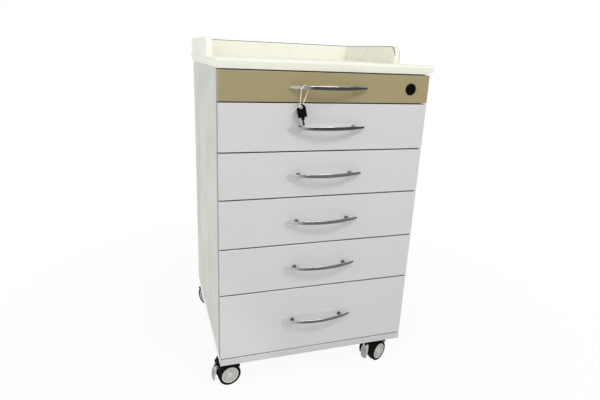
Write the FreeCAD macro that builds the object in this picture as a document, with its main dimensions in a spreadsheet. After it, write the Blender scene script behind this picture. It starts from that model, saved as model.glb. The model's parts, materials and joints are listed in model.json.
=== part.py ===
"""Mobile dental cabinet: a board carcass on four twin-wheel swivel casters, with six drawers
on telescopic slides, bow handles, a cam lock in the top drawer, and a worktop with a low
gallery on three sides.  Millimetres, +Z up, drawers open towards -Y.  The origin is on the
floor, under the middle of the cabinet."""

import FreeCAD, Part
import math
import os
import Sketcher

# ---------------------------------------------------------------- driving dimensions

DIMENSIONS = [
    # alias, size, what it is
    ("cabinet_width", 500, "outside width of the carcass and of each drawer front"),
    ("front_plane", -229.9, "Y of the outer faces of the drawer fronts"),
    ("carcass_reach", 468, "from the drawer fronts' outer faces to the back of the carcass"),
    ("carcass_height", 700, "height of the side panels"),
    ("caster_height", 70, "floor to the underside of the base board"),
    ("base_board", 18, "thickness of the base board"),
    ("side_board", 16, "thickness of the side panels"),
    ("back_board", 12, "thickness of the back panel"),
    ("rail_board", 18, "thickness of the two top rails"),
    ("rail_width", 60, "depth of the two top rails, front to back"),
    ("front_board", 18, "thickness of the drawer fronts"),
    ("front_gap", 2.5, "gap round each drawer front"),
    ("bumper_gap", 2, "gap between the drawer fronts and the side panels' edges"),
    ("edge_round", 1.5, "radius of the banded edges of the drawer fronts and base board"),
    ("pitch_one", 67, "front height plus gap, top drawer"),
    ("pitch_two", 108.5, "front height plus gap, second drawer"),
    ("pitch_three", 108.5, "front height plus gap, third drawer"),
    ("pitch_four", 118.75, "front height plus gap, fourth drawer"),
    ("pitch_five", 118.75, "front height plus gap, fifth drawer"),
    ("pitch_six", 176, "front height plus gap, bottom drawer"),
    ("top_board", 20, "thickness of the worktop"),
    ("top_side_overhang", 5, "worktop beyond each side panel"),
    ("top_front_overhang", 8, "worktop beyond the drawer fronts"),
    ("top_back_overhang", 20, "worktop beyond the back of the carcass"),
    ("top_undercut", 5, "how far the worktop's edge leans in, top to bottom"),
    ("top_nose", 6, "height of the worktop's upright nose above the leaning edge"),
    ("top_round", 2, "radius of the worktop's top edges"),
    ("gallery_height", 43, "height of the gallery above the worktop"),
    ("gallery_board", 15, "thickness of the gallery boards"),
    ("gallery_inset", 3, "gallery's outer faces in from the worktop's edges"),
    ("gallery_start", 155, "front ends of the gallery sides, behind the drawer fronts"),
    ("gallery_corner", 26, "radius of the gallery sides' top front corners"),
    ("gallery_sink", 3, "depth of the grooves in the worktop that hold the gallery boards"),
    ("box_board", 10, "thickness of the drawer box's upright boards"),
    ("box_bottom", 5, "thickness of the drawer bottom"),
    ("box_groove", 5, "depth of the groove that holds the drawer bottom"),
    ("box_bottom_lift", 8, "drawer bottom above the lower edge of the box"),
    ("box_depth", 420, "length of the drawer box behind the front"),
    ("box_lift", 5, "lower edge of the box above the lower edge of its front"),
    ("box_height_less", 26, "box height is the front pitch less this"),
    ("slide_width", 12.7, "side panel to drawer box, filled by one telescopic slide"),
    ("slide_length", 400, "length of each slide member"),
    ("slide_start", 22, "front ends of the slides, behind the drawer fronts' outer faces"),
    ("slide_lift", 20.25, "middle of a slide above the lower edge of its box"),
    ("slide_wall", 1.1, "steel thickness of the slide members"),
    ("outer_half", 17.5, "half height of the slide's cabinet member"),
    ("outer_reach", 9.5, "how far the cabinet member's flanges reach from the side panel"),
    ("outer_lip", 2.6, "height of the lips that keep the balls in the cabinet member"),
    ("middle_half", 14, "half height of the slide's middle member"),
    ("middle_start", 3, "side panel to the middle member's web"),
    ("middle_reach", 11.5, "side panel to the middle member's flange edges"),
    ("inner_half", 10.5, "half height of the slide's drawer member"),
    ("inner_reach", 5.5, "side panel to the drawer member's flange edges"),
    ("handle_side", -3, "middle of each handle from the middle of the cabinet"),
    ("post_spacing", 128, "between the two posts of a handle"),
    ("post_radius", 4, "radius of a handle's posts"),
    ("bow_length", 182, "end to end of a handle's bow"),
    ("bow_standoff", 24.5, "drawer front to the outer face of the bow at its middle"),
    ("bow_end_standoff", 6, "drawer front to the outer face of the bow at its ends"),
    ("bow_thick", 5, "thickness of the bow at its middle"),
    ("bow_end_thick", 2.4, "thickness of the bow at its ends"),
    ("bow_tall", 9, "height of the bow at its middle"),
    ("bow_end_tall", 5, "height of the bow at its ends"),
    ("lock_side", 202, "lock's axis from the middle of the cabinet"),
    ("lock_flange", 13.5, "radius of the lock's front flange"),
    ("lock_flange_thick", 2.5, "thickness of the lock's front flange"),
    ("lock_barrel", 9, "radius of the lock's barrel"),
    ("lock_barrel_length", 31, "length of the barrel behind the drawer front's face"),
    ("barrel_room", 0.1, "radial clearance of the barrel in the boards"),
    ("plug_radius", 6, "radius of the lock's turning plug"),
    ("running_gap", 0.06, "radial clearance of a shaft that turns in its hole"),
    ("keyway_tall", 8, "height of the keyway"),
    ("keyway_wide", 2, "width of the keyway"),
    ("keyway_deep", 20, "depth of the keyway"),
    ("cam_thick", 2.5, "thickness of the cam"),
    ("cam_gap", 0.3, "end of the barrel to the cam"),
    ("cam_screw", 5.5, "radius of the screw head that holds the cam"),
    ("cam_screw_thick", 2, "thickness of that screw head"),
    ("cam_long", 26, "cam's tip from the lock's axis"),
    ("cam_wide", 12, "width of the cam's arm"),
    ("cam_hub", 8, "radius of the cam's hub"),
    ("tang_side", 7, "side of the square tang that carries the cam"),
    ("cam_room", 1, "room in front of and behind the cam, between the two front rails"),
    ("key_side", -72, "middle of the key from the middle of the cabinet"),
    ("key_hole_drop", 41, "from the handle's middle line down to the hole in the key"),
    ("key_head_wide", 20, "width of the key's moulded head"),
    ("key_head_tall", 29, "height of the key's moulded head"),
    ("key_head_thick", 4.5, "thickness of the key's moulded head"),
    ("key_hole", 4.2, "radius of the hole in the key's head"),
    ("key_hole_inset", 6.5, "hole's middle below the top of the head"),
    ("key_collar_long", 5, "length of the moulded collar round the blade's root"),
    ("key_blade_long", 19, "length of the blade below the head"),
    ("key_blade_wide", 5.5, "width of the blade"),
    ("key_blade_thick", 1.8, "thickness of the blade"),
    ("key_tilt", 13, "lean of the hanging key, in degrees"),
    ("key_turn", -20, "turn of the hanging key about the upright, in degrees"),
    ("tie_side", -64, "where the tie hangs on the bow, from the middle of the cabinet"),
    ("tie_wide", 2.4, "width of the tie's strap"),
    ("tie_thick", 1.2, "thickness of the tie's strap"),
    ("tie_top_radius", 12, "inside radius of the loop over the bow"),
    ("tie_foot_radius", 4, "inside radius of the loop in the key's hole"),
    ("tie_foot_rise", 1.5, "inside of the loop's foot above the middle of the key's hole"),
    ("tie_turn", 36.9, "turn of the loop about the upright, in degrees"),
    ("tie_head_long", 4.6, "length of the tie's lock head"),
    ("tie_head_side", 4, "width and depth of the tie's lock head"),
    ("tie_head_drop", 6.6, "foot of the lock head below the centre of the loop's foot"),
    ("tie_head_aside", 1, "lock head beyond the widest part of the loop's foot"),
    ("tie_tail", 29, "length of the tie's cut tail"),
    ("tie_tail_drop", 20, "how far the tail points down, in degrees"),
    ("caster_inset", 43, "swivel axes in from the side panels' outer faces"),
    ("caster_front_inset", 41, "front swivel axes behind the drawer fronts' faces"),
    ("caster_back_inset", 35, "rear swivel axes in front of the carcass's back"),
    ("caster_trail", 20, "wheels' axle behind the swivel axis"),
    ("plate_side", 42, "side of the caster's square top plate"),
    ("plate_thick", 2.5, "thickness of the top plate"),
    ("race_radius", 14, "radius of the swivel race under the plate"),
    ("race_drop", 8, "underside of the swivel race below the base board"),
    ("kingpin_radius", 4, "radius of the swivel pin"),
    ("kingpin_drop", 18, "end of the swivel pin below the base board"),
    ("swivel_gap", 0.5, "end play of the hood under the race and round the pin's end"),
    ("hood_wide", 49, "width of the hood over both wheels"),
    ("boss_radius", 6.8, "radius of the boss that the swivel pin turns in"),
    ("boss_foot", 48, "underside of the boss above the floor"),
    ("hood_wall", 2, "thickness of the hood's end walls"),
    ("hood_bevel", 3, "bevel at the ends of the hood's flat top"),
    ("hood_foot", 9, "radius of the web's foot round the axle"),
    ("web_thick", 11, "thickness of the hood's middle web, between the wheels"),
    ("wheel_radius", 29, "outside radius of the tread"),
    ("wheel_clearance", 1.2, "tread to the inside of the hood"),
    ("core_radius", 24, "radius of the wheel's moulded core"),
    ("core_dish", 2, "depth of the dish in the core's outer face"),
    ("wheel_inner", 7, "inner face of a wheel from the caster's middle plane"),
    ("wheel_outer", 24.5, "outer face of a wheel from the caster's middle plane"),
    ("axle_radius", 4, "radius of the wheels' axle"),
    ("axle_half", 20, "half length of the axle"),
    ("pedal_reach", 30, "brake pedal's pin beyond the wheels' axle"),
    ("pedal_height", 50, "brake pedal's pin above the floor"),
    ("pedal_pin", 1.5, "radius of the brake pedal's pin"),
    ("pedal_pin_half", 8.5, "half length of that pin"),
    ("pedal_eye", 3.2, "radius of the pedal's eyes and of the hood's lug round the pin"),
    ("pedal_lug", 6, "thickness of the hood's lug between the pedal's eyes"),
    ("pedal_gap", 0.3, "room beside that lug"),
    ("pedal_wide", 21, "width of the pedal"),
    ("pedal_root", 14, "width of the pedal above its pin"),
    ("pedal_foot", 10, "lower end of the pedal above the floor"),
    ("pedal_shoulder", 38, "height above the floor from which the pedal narrows upwards"),
    ("pedal_flare", 8, "outer face of the pedal's lower end beyond its pin"),
    ("pedal_bulge", 2.5, "how far the pedal's outer face bulges"),
    ("pedal_thick", 2.6, "thickness of the pedal's lower end"),
    ("pedal_rim", 2.2, "width of the raised rim round the pedal's face"),
    ("pedal_rim_high", 0.8, "height of that rim"),
]


class Size:
    """A length that carries its value and the formula over the sheet's cells that gives it."""

    def __init__(self, value, formula):
        self.value = value
        self.formula = formula

    def __add__(self, other):
        return Size(self.value + value_of(other), f"({self.formula} + {formula_of(other)})")

    def __radd__(self, other):
        return Size(value_of(other) + self.value, f"({formula_of(other)} + {self.formula})")

    def __sub__(self, other):
        return Size(self.value - value_of(other), f"({self.formula} - {formula_of(other)})")

    def __rsub__(self, other):
        return Size(value_of(other) - self.value, f"({formula_of(other)} - {self.formula})")

    def __mul__(self, number):
        return Size(self.value * number, f"({self.formula} * {number})")

    def __rmul__(self, number):
        return self * number

    def __truediv__(self, number):
        return Size(self.value / number, f"({self.formula} / {number})")

    def __neg__(self):
        return Size(-self.value, f"(0 - {self.formula})")


def value_of(size):
    return size.value if isinstance(size, Size) else size


def formula_of(size):
    return size.formula if isinstance(size, Size) else repr(size)


doc = FreeCAD.newDocument("dental_cabinet")
sheet = doc.addObject("Spreadsheet::Sheet", "sizes")
dims = {}
for row, (alias, number, meaning) in enumerate(DIMENSIONS, start=1):
    sheet.set(f"A{row}", meaning)
    sheet.set(f"B{row}", str(number))
    sheet.setAlias(f"B{row}", alias)
    dims[alias] = Size(float(number), f"sizes.{alias}")
doc.recompute()

nodes = []          # the finished sub-parts, in the order in which they are exported


# ---------------------------------------------------------------- helpers

def bind(thing, prop, size):
    """Sets a property to a plain number, or ties it to the sheet."""
    if isinstance(size, Size):
        thing.setExpression(prop, size.formula)
    else:
        setattr(thing, prop, size)


def place(thing, x=0.0, y=0.0, z=0.0, turn=None):
    """Puts a thing at x, y, z, turned by a FreeCAD.Rotation."""
    if turn is not None:
        thing.Placement = FreeCAD.Placement(FreeCAD.Vector(0, 0, 0), turn)
    for axis, size in zip("xyz", (x, y, z)):
        if isinstance(size, Size):
            thing.setExpression(f"Placement.Base.{axis}", size.formula)
        elif size:
            base = thing.Placement.Base
            setattr(base, axis, size)
            thing.Placement = FreeCAD.Placement(base, thing.Placement.Rotation)
    return thing


def keep(thing, name):
    """Names a finished sub-part and lists it for export."""
    thing.Label = name
    nodes.append(thing)
    return thing


def box(name, x, y, z):
    """A block between two faces along each axis: x, y and z are (low, high) pairs."""
    block = doc.addObject("Part::Box", name)
    for prop, (low, high) in zip(("Length", "Width", "Height"), (x, y, z)):
        bind(block, prop, high - low)
    return place(block, x[0], y[0], z[0])


def rod(name, radius, x, y, z, length, turn=None):
    """A cylinder that starts at x, y, z and runs along +Z, or along the turned +Z."""
    cylinder = doc.addObject("Part::Cylinder", name)
    bind(cylinder, "Radius", radius)
    bind(cylinder, "Height", length)
    return place(cylinder, x, y, z, turn)


def cut(name, base, tool):
    result = doc.addObject("Part::Cut", name)
    result.Base = base
    result.Tool = tool
    return result


def fuse(name, *things):
    result = doc.addObject("Part::MultiFuse", name)
    result.Shapes = list(things)
    result.Refine = True
    return result


def common(name, base, tool):
    result = doc.addObject("Part::Common", name)
    result.Base = base
    result.Tool = tool
    return result


def group(name, *things):
    """Separate solids that share one node."""
    result = doc.addObject("Part::Compound", name)
    result.Links = list(things)
    return result


def mirrored(name, thing):
    """The same piece for the other side of the cabinet."""
    result = doc.addObject("Part::Mirroring", name)
    result.Source = thing
    result.Normal = FreeCAD.Vector(1, 0, 0)
    return result


def new_body(name):
    return doc.addObject("PartDesign::Body", name)


def sketch_on(body, plane):
    sketch = body.newObject("Sketcher::SketchObject", f"{body.Name}_sketch")
    support = [item for item in body.Origin.OriginFeatures if item.Role == plane]
    sketch.AttachmentSupport = [(support[0], "")]
    sketch.MapMode = "FlatFace"
    return sketch


def draw(sketch, *corners):
    """Draws one closed outline.  A corner is (x, y), or (x, y, radius) where the side that
    leaves it is an arc: it bulges to the right of its direction if radius is positive, and
    to the left if negative."""
    count = len(corners)
    first = sketch.GeometryCount
    starts, ends = [], []
    for index, corner in enumerate(corners):
        following = corners[(index + 1) % count]
        a = FreeCAD.Vector(value_of(corner[0]), value_of(corner[1]), 0)
        b = FreeCAD.Vector(value_of(following[0]), value_of(following[1]), 0)
        if len(corner) == 2:
            sketch.addGeometry(Part.LineSegment(a, b), False)
            starts.append(1)
            ends.append(2)
            continue
        radius = value_of(corner[2])
        chord = b - a
        left = FreeCAD.Vector(-chord.y, chord.x, 0).normalize()
        reach = math.sqrt(max(radius * radius - chord.Length ** 2 / 4, 0.0))
        centre = (a + b) / 2 + left * math.copysign(reach, radius)
        low, high = (a, b) if radius > 0 else (b, a)
        circle = Part.Circle(centre, FreeCAD.Vector(0, 0, 1), abs(radius))
        angles = [math.atan2(p.y - centre.y, p.x - centre.x) for p in (low, high)]
        sketch.addGeometry(Part.ArcOfCircle(circle, *angles), False)
        starts.append(1 if radius > 0 else 2)
        ends.append(2 if radius > 0 else 1)
    for index, corner in enumerate(corners):
        here, after = first + index, first + (index + 1) % count
        sketch.addConstraint(Sketcher.Constraint(
            "Coincident", here, ends[index], after, starts[(index + 1) % count]))
        for kind, size in (("DistanceX", corner[0]), ("DistanceY", corner[1])):
            dimension(sketch, Sketcher.Constraint(
                kind, -1, 1, here, starts[index], value_of(size)), size)
        if len(corner) == 3:
            size = corner[2] if value_of(corner[2]) > 0 else -corner[2]
            dimension(sketch, Sketcher.Constraint("Radius", here, value_of(size)), size)
    return sketch


def draw_circle(sketch, x, y, radius):
    """Draws one circle about x, y."""
    centre = FreeCAD.Vector(value_of(x), value_of(y), 0)
    circle = Part.Circle(centre, FreeCAD.Vector(0, 0, 1), value_of(radius))
    index = sketch.addGeometry(circle, False)
    for kind, size in (("DistanceX", x), ("DistanceY", y)):
        dimension(sketch, Sketcher.Constraint(kind, -1, 1, index, 3, value_of(size)), size)
    dimension(sketch, Sketcher.Constraint("Radius", index, value_of(radius)), radius)
    return sketch


def dimension(sketch, constraint, size):
    """Adds a dimension, tied to the sheet where its size is."""
    index = sketch.addConstraint(constraint)
    if isinstance(size, Size):
        sketch.setExpression(f"Constraints[{index}]", size.formula)


def rectangle(sketch, x, y):
    """Draws a rectangle between (low, high) pairs."""
    return draw(sketch, (x[0], y[0]), (x[1], y[0]), (x[1], y[1]), (x[0], y[1]))


def pad(body, sketch, length, both_ways=False):
    feature = body.newObject("PartDesign::Pad", f"{body.Name}_pad")
    feature.Profile = sketch
    feature.SideType = "Symmetric" if both_ways else "One side"
    bind(feature, "Length", length)
    return feature


def revolve(body, sketch):
    """Turns a sketch about its own upright axis."""
    feature = body.newObject("PartDesign::Revolution", f"{body.Name}_turned")
    feature.Profile = sketch
    feature.ReferenceAxis = (sketch, ["V_Axis"])
    feature.Angle = 360
    return feature


def edges_where(feature, test):
    """Names of the feature's edges whose bounding box passes the test."""
    doc.recompute()
    edges = feature.Shape.Edges
    return [f"Edge{n}" for n, edge in enumerate(edges, start=1) if test(edge.BoundBox)]


def round_edges(body, feature, radius, test):
    fillet = body.newObject("PartDesign::Fillet", f"{body.Name}_round")
    fillet.Base = (feature, edges_where(feature, test))
    bind(fillet, "Radius", radius)
    return fillet


def slope_edges(body, feature, down, across, test):
    chamfer = body.newObject("PartDesign::Chamfer", f"{body.Name}_slope")
    chamfer.Base = (feature, edges_where(feature, test))
    chamfer.ChamferType = "Two distances"
    bind(chamfer, "Size", down)
    bind(chamfer, "Size2", across)
    return chamfer


NEAR = 0.01                                       # two places closer than this are one
ALONG_Y = FreeCAD.Rotation(FreeCAD.Vector(1, 0, 0), -90)       # turns +Z to +Y


# ---------------------------------------------------------------- carcass

half_width = dims["cabinet_width"] / 2
front = dims["front_plane"]
carcass_back = front + dims["carcass_reach"]
carcass_front = front + dims["front_board"] + dims["bumper_gap"]
base_low = dims["caster_height"]
base_top = base_low + dims["base_board"]
carcass_top = base_top + dims["carcass_height"]
side_inner = half_width - dims["side_board"]
panel_depth = (carcass_front, carcass_back)


def build_base_board():
    body = new_body("base_board")
    outline = rectangle(sketch_on(body, "XY_Plane"), (-half_width, half_width),
                        (front, carcass_back))
    slab = pad(body, outline, dims["base_board"])
    front_face = value_of(front)
    round_edges(body, slab, dims["edge_round"],
                lambda b: b.YMax < front_face + NEAR and b.XLength > NEAR)
    keep(place(body, z=base_low), "base_board")


def build_side_panels():
    for side, x in (("left", (-half_width, -side_inner)), ("right", (side_inner, half_width))):
        keep(box(f"side_{side}", x, panel_depth, (base_top, carcass_top)), f"side_panel_{side}")


def build_back_panel():
    y = (carcass_back - dims["back_board"], carcass_back)
    keep(box("back", (-side_inner, side_inner), y, (base_top, carcass_top)), "back_panel")


def build_top_rails():
    """Flat rails under the worktop: two in front, with the lock's cam between them when it is
    turned up, and one at the back."""
    z = (carcass_top - dims["rail_board"], carcass_top)
    x = (-side_inner, side_inner)
    back = carcass_back - dims["back_board"]
    spans = {
        "keeper": (carcass_front, cam_front - dims["cam_room"]),
        "front": (cam_front + dims["cam_thick"] + dims["cam_room"],
                  carcass_front + dims["rail_width"]),
        "rear": (back - dims["rail_width"], back),
    }
    keep(group("rails", *[box(f"rail_{name}", x, y, z) for name, y in spans.items()]),
         "top_rails")


# ---------------------------------------------------------------- worktop and gallery

top_low = carcass_top
top_high = top_low + dims["top_board"]
top_half = half_width + dims["top_side_overhang"]
top_front = front - dims["top_front_overhang"]
top_back = carcass_back + dims["top_back_overhang"]
gallery_outer = top_half - dims["gallery_inset"]
gallery_inner = gallery_outer - dims["gallery_board"]
gallery_rear = top_back - dims["gallery_inset"]
gallery_reach = (front + dims["gallery_start"], gallery_rear)
gallery_back = (gallery_rear - dims["gallery_board"], gallery_rear)


def build_worktop():
    """A slab whose edge leans in below an upright nose, with softened top edges and a groove
    for each gallery board."""
    body = new_body("worktop_slab")
    outline = rectangle(sketch_on(body, "XY_Plane"), (-top_half, top_half), (top_front, top_back))
    slab = pad(body, outline, dims["top_board"])
    high = dims["top_board"].value
    rounded = round_edges(body, slab, dims["top_round"], lambda b: b.ZMin > high - NEAR)
    slope_edges(body, rounded, dims["top_board"] - dims["top_nose"], dims["top_undercut"],
                lambda b: b.ZMax < NEAR)
    z = (dims["top_board"] - dims["gallery_sink"], dims["top_board"] + dims["gallery_height"])
    grooves = fuse("grooves",
                   box("groove_left", (-gallery_outer, -gallery_inner), gallery_reach, z),
                   box("groove_right", (gallery_inner, gallery_outer), gallery_reach, z),
                   box("groove_back", (-gallery_outer, gallery_outer), gallery_back, z))
    keep(place(cut("grooved_top", body, grooves), z=top_low), "worktop")


def build_gallery():
    """Three boards on edge, sunk into the worktop's grooves."""
    start, rear = gallery_reach
    foot = top_high - dims["gallery_sink"]
    tall = dims["gallery_sink"] + dims["gallery_height"]
    corner = dims["gallery_corner"]
    for side, x in (("left", -gallery_outer), ("right", gallery_inner)):
        body = new_body(f"gallery_{side}")
        outline = draw(sketch_on(body, "YZ_Plane"), (start, 0), (rear, 0), (rear, tall),
                       (start + corner, tall, corner), (start, tall - corner))
        pad(body, outline, dims["gallery_board"])
        keep(place(body, x=x, z=foot), f"gallery_{side}")
    keep(box("gallery_rear", (-gallery_inner, gallery_inner), gallery_back,
             (foot, foot + tall)), "gallery_back")


# ---------------------------------------------------------------- drawers

LEVELS = ("one", "two", "three", "four", "five", "six")        # top to bottom


def front_heights(level):
    """(low, high) of one drawer's front."""
    low = base_top + dims["front_gap"]
    for below in reversed(LEVELS[LEVELS.index(level) + 1:]):
        low = low + dims[f"pitch_{below}"]
    return low, low + dims[f"pitch_{level}"] - dims["front_gap"]


def front_middle(level):
    low, high = front_heights(level)
    return (low + high) / 2


front_back = front + dims["front_board"]
box_half = side_inner - dims["slide_width"]
box_inner = box_half - dims["box_board"]
lock_axis = front_middle("one")
cam_front = front + dims["lock_barrel_length"] + dims["cam_gap"]
barrel_way = dims["lock_barrel"] + dims["barrel_room"]


def build_front(level):
    """The drawer's overlay front, with softened outer edges, bored for the lock at the top."""
    body = new_body(f"front_{level}")
    outline = rectangle(sketch_on(body, "XZ_Plane"), (-half_width, half_width),
                        front_heights(level))
    if level == "one":
        draw_circle(outline, dims["lock_side"], lock_axis, barrel_way)
    slab = pad(body, outline, dims["front_board"])
    face = -dims["front_board"].value
    longest = dims["lock_flange"].value * 2
    round_edges(body, slab, dims["edge_round"],
                lambda b: b.YMax < face + NEAR and b.DiagonalLength > longest)
    keep(place(body, y=front_back), f"drawer_front_{level}")


def build_drawer_box(level):
    """Four upright boards grooved for the bottom, and the bottom let into them."""
    low = front_heights(level)[0] + dims["box_lift"]
    z = (low, low + dims[f"pitch_{level}"] - dims["box_height_less"])
    y = (front_back, front_back + dims["box_depth"])
    board = dims["box_board"]
    groove = dims["box_groove"]
    floor_z = (low + dims["box_bottom_lift"], low + dims["box_bottom_lift"] + dims["box_bottom"])
    floor_x = (-box_inner - groove, box_inner + groove)
    floor_y = (y[0] + board - groove, y[1] - board + groove)
    spots = {
        "left": ((-box_half, -box_inner), y),
        "right": ((box_inner, box_half), y),
        "inner_front": ((-box_inner, box_inner), (y[0], y[0] + board)),
        "rear": ((-box_inner, box_inner), (y[1] - board, y[1])),
    }
    boards = []
    for spot, (spot_x, spot_y) in spots.items():
        plain = box(f"{spot}_{level}_plain", spot_x, spot_y, z)
        slot = box(f"{spot}_{level}_slot", floor_x, floor_y, floor_z)
        grooved = cut(f"{spot}_{level}", plain, slot)
        if level == "one" and spot == "inner_front":
            hole = rod("lock_way", barrel_way, dims["lock_side"], spot_y[0], lock_axis, board,
                       ALONG_Y)
            grooved = cut("inner_front_bored", grooved, hole)
        boards.append(grooved)
    boards.append(box(f"floor_{level}", floor_x, floor_y, floor_z))
    keep(group(f"box_{level}", *boards), f"drawer_box_{level}")


def channel(name, web, tip, half, lip=None):
    """One slide member: a steel channel along Y on the left side of the cabinet.  web and tip
    are the outer face of its web and the edge of its flanges, from the side panel."""
    wall = dims["slide_wall"]
    step = wall if value_of(tip) > value_of(web) else -wall
    high, inside = half, half - wall
    start, edge = web - side_inner, tip - side_inner
    corners = [(start, -high), (edge, -high)]
    if lip is not None:
        corners += [(edge, -high + lip), (edge - step, -high + lip), (edge - step, -inside)]
    else:
        corners += [(edge, -inside)]
    corners += [(start + step, -inside), (start + step, inside)]
    if lip is not None:
        corners += [(edge - step, inside), (edge - step, high - lip), (edge, high - lip)]
    else:
        corners += [(edge, inside)]
    corners += [(edge, high), (start, high)]
    body = new_body(name)
    outline = draw(sketch_on(body, "XZ_Plane"), *corners)
    pad(body, outline, dims["slide_length"])
    return body


def build_slides():
    """Three telescopic members a side: cabinet, middle and drawer."""
    flat = Size(0.0, "0")
    members = {
        "outer": (flat, dims["outer_reach"], dims["outer_half"], dims["outer_lip"]),
        "middle": (dims["middle_start"], dims["middle_reach"], dims["middle_half"], None),
        "inner": (dims["slide_width"], dims["inner_reach"], dims["inner_half"], None),
    }
    rear = front + dims["slide_start"] + dims["slide_length"]
    outers = []
    for level in LEVELS:
        height = front_heights(level)[0] + dims["box_lift"] + dims["slide_lift"]
        pairs = {}
        for member, spec in members.items():
            left = place(channel(f"{member}_{level}", *spec), y=rear, z=height)
            pairs[member] = [left, mirrored(f"{member}_{level}_right", left)]
        outers += pairs["outer"]
        keep(group(f"middles_{level}", *pairs["middle"]), f"slide_middles_{level}")
        keep(group(f"inners_{level}", *pairs["inner"]), f"drawer_rails_{level}")
    keep(group("outers", *outers), "cabinet_rails")


def build_handle(level):
    """A bow that thins towards its ends, on two round posts."""
    half = dims["bow_length"] / 2
    out, end_out = -dims["bow_standoff"], -dims["bow_end_standoff"]
    thick, end_thick = dims["bow_thick"], dims["bow_end_thick"]
    tall, end_tall = dims["bow_tall"] / 2, dims["bow_end_tall"] / 2
    name = f"bow_{level}"

    plan = new_body(f"{name}_plan")
    outline = draw(sketch_on(plan, "XY_Plane"),
                   (-half, end_out, bow_radius(end_out - out)),
                   (half, end_out),
                   (half, end_out + end_thick,
                    -bow_radius(end_out + end_thick - out - thick)),
                   (-half, end_out + end_thick))
    pad(plan, outline, dims["bow_tall"], both_ways=True)

    face = new_body(f"{name}_face")
    lens = bow_radius(tall - end_tall)
    outline = draw(sketch_on(face, "XZ_Plane"),
                   (-half, -end_tall, lens), (half, -end_tall),
                   (half, end_tall, lens), (-half, end_tall))
    pad(face, outline, dims["bow_standoff"])

    bow = common(name, plan, face)
    posts = []
    for side, x in (("left", -dims["post_spacing"] / 2), ("right", dims["post_spacing"] / 2)):
        depth = bow_depth(dims["post_spacing"].value / 2)
        posts.append(rod(f"post_{level}_{side}", dims["post_radius"], x, -depth, 0, depth,
                         ALONG_Y))
    handle = fuse(f"handle_{level}", bow, *posts)
    keep(place(handle, dims["handle_side"], front, front_middle(level)), f"handle_{level}")


def bow_radius(rise):
    """Radius of the arc that rises by that much over half the bow's length."""
    half = dims["bow_length"] / 2
    value = (half.value ** 2 + rise.value ** 2) / (2 * rise.value)
    return Size(value, f"(({half.formula})^2 + ({rise.formula})^2) / (2 * ({rise.formula}))")


def bow_depth(aside):
    """Drawer front to the middle of the bow's thickness, that far aside of its middle."""
    radius = bow_radius(dims["bow_standoff"] - dims["bow_end_standoff"])
    sag = radius - Size(math.sqrt(radius.value ** 2 - aside ** 2),
                        f"sqrt(({radius.formula})^2 - {aside ** 2})")
    return dims["bow_standoff"] - sag - dims["bow_thick"] / 2


# ---------------------------------------------------------------- lock, key and tie

def build_lock():
    """Cam lock in the top drawer: flanged housing, slotted plug and cam."""
    x, z = dims["lock_side"], lock_axis
    flange_y = front - dims["lock_flange_thick"]
    barrel_length = dims["lock_flange_thick"] + dims["lock_barrel_length"]
    flange = rod("lock_flange", dims["lock_flange"], x, flange_y, z,
                 dims["lock_flange_thick"], ALONG_Y)
    barrel = rod("lock_barrel", dims["lock_barrel"], x, flange_y, z, barrel_length,
                 ALONG_Y)
    bore = rod("lock_bore", dims["plug_radius"] + dims["running_gap"], x, flange_y, z,
               barrel_length, ALONG_Y)
    keep(cut("lock_shell", fuse("lock_solid", flange, barrel), bore), "lock_housing")

    plug = rod("plug_round", dims["plug_radius"], x, flange_y, z, cam_front - flange_y,
               ALONG_Y)
    half_tang = dims["tang_side"] / 2
    cam_y = (cam_front, cam_front + dims["cam_thick"])
    square_x, square_z = (x - half_tang, x + half_tang), (z - half_tang, z + half_tang)
    tang = box("plug_tang", square_x, cam_y, square_z)
    head = rod("plug_screw", dims["cam_screw"], x, cam_y[1], z, dims["cam_screw_thick"], ALONG_Y)
    keyway = box("keyway", (x - dims["keyway_wide"] / 2, x + dims["keyway_wide"] / 2),
                 (flange_y, flange_y + dims["keyway_deep"]),
                 (z - dims["keyway_tall"] / 2, z + dims["keyway_tall"] / 2))
    keep(cut("plug_slotted", fuse("plug", plug, tang, head), keyway), "lock_plug")

    hub = rod("cam_hub", dims["cam_hub"], x, cam_y[0], z, dims["cam_thick"], ALONG_Y)
    arm = box("cam_arm", (x - dims["cam_long"], x), cam_y,
              (z - dims["cam_wide"] / 2, z + dims["cam_wide"] / 2))
    seat = box("cam_seat", square_x, cam_y, square_z)
    keep(cut("cam", fuse("cam_solid", hub, arm), seat), "lock_cam")


def hanging_point():
    """Where the tie rests on the top handle: the middle of the bow at that place."""
    aside = (dims["tie_side"] - dims["handle_side"]).value
    return dims["tie_side"], front - bow_depth(abs(aside)), front_middle("one")


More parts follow.
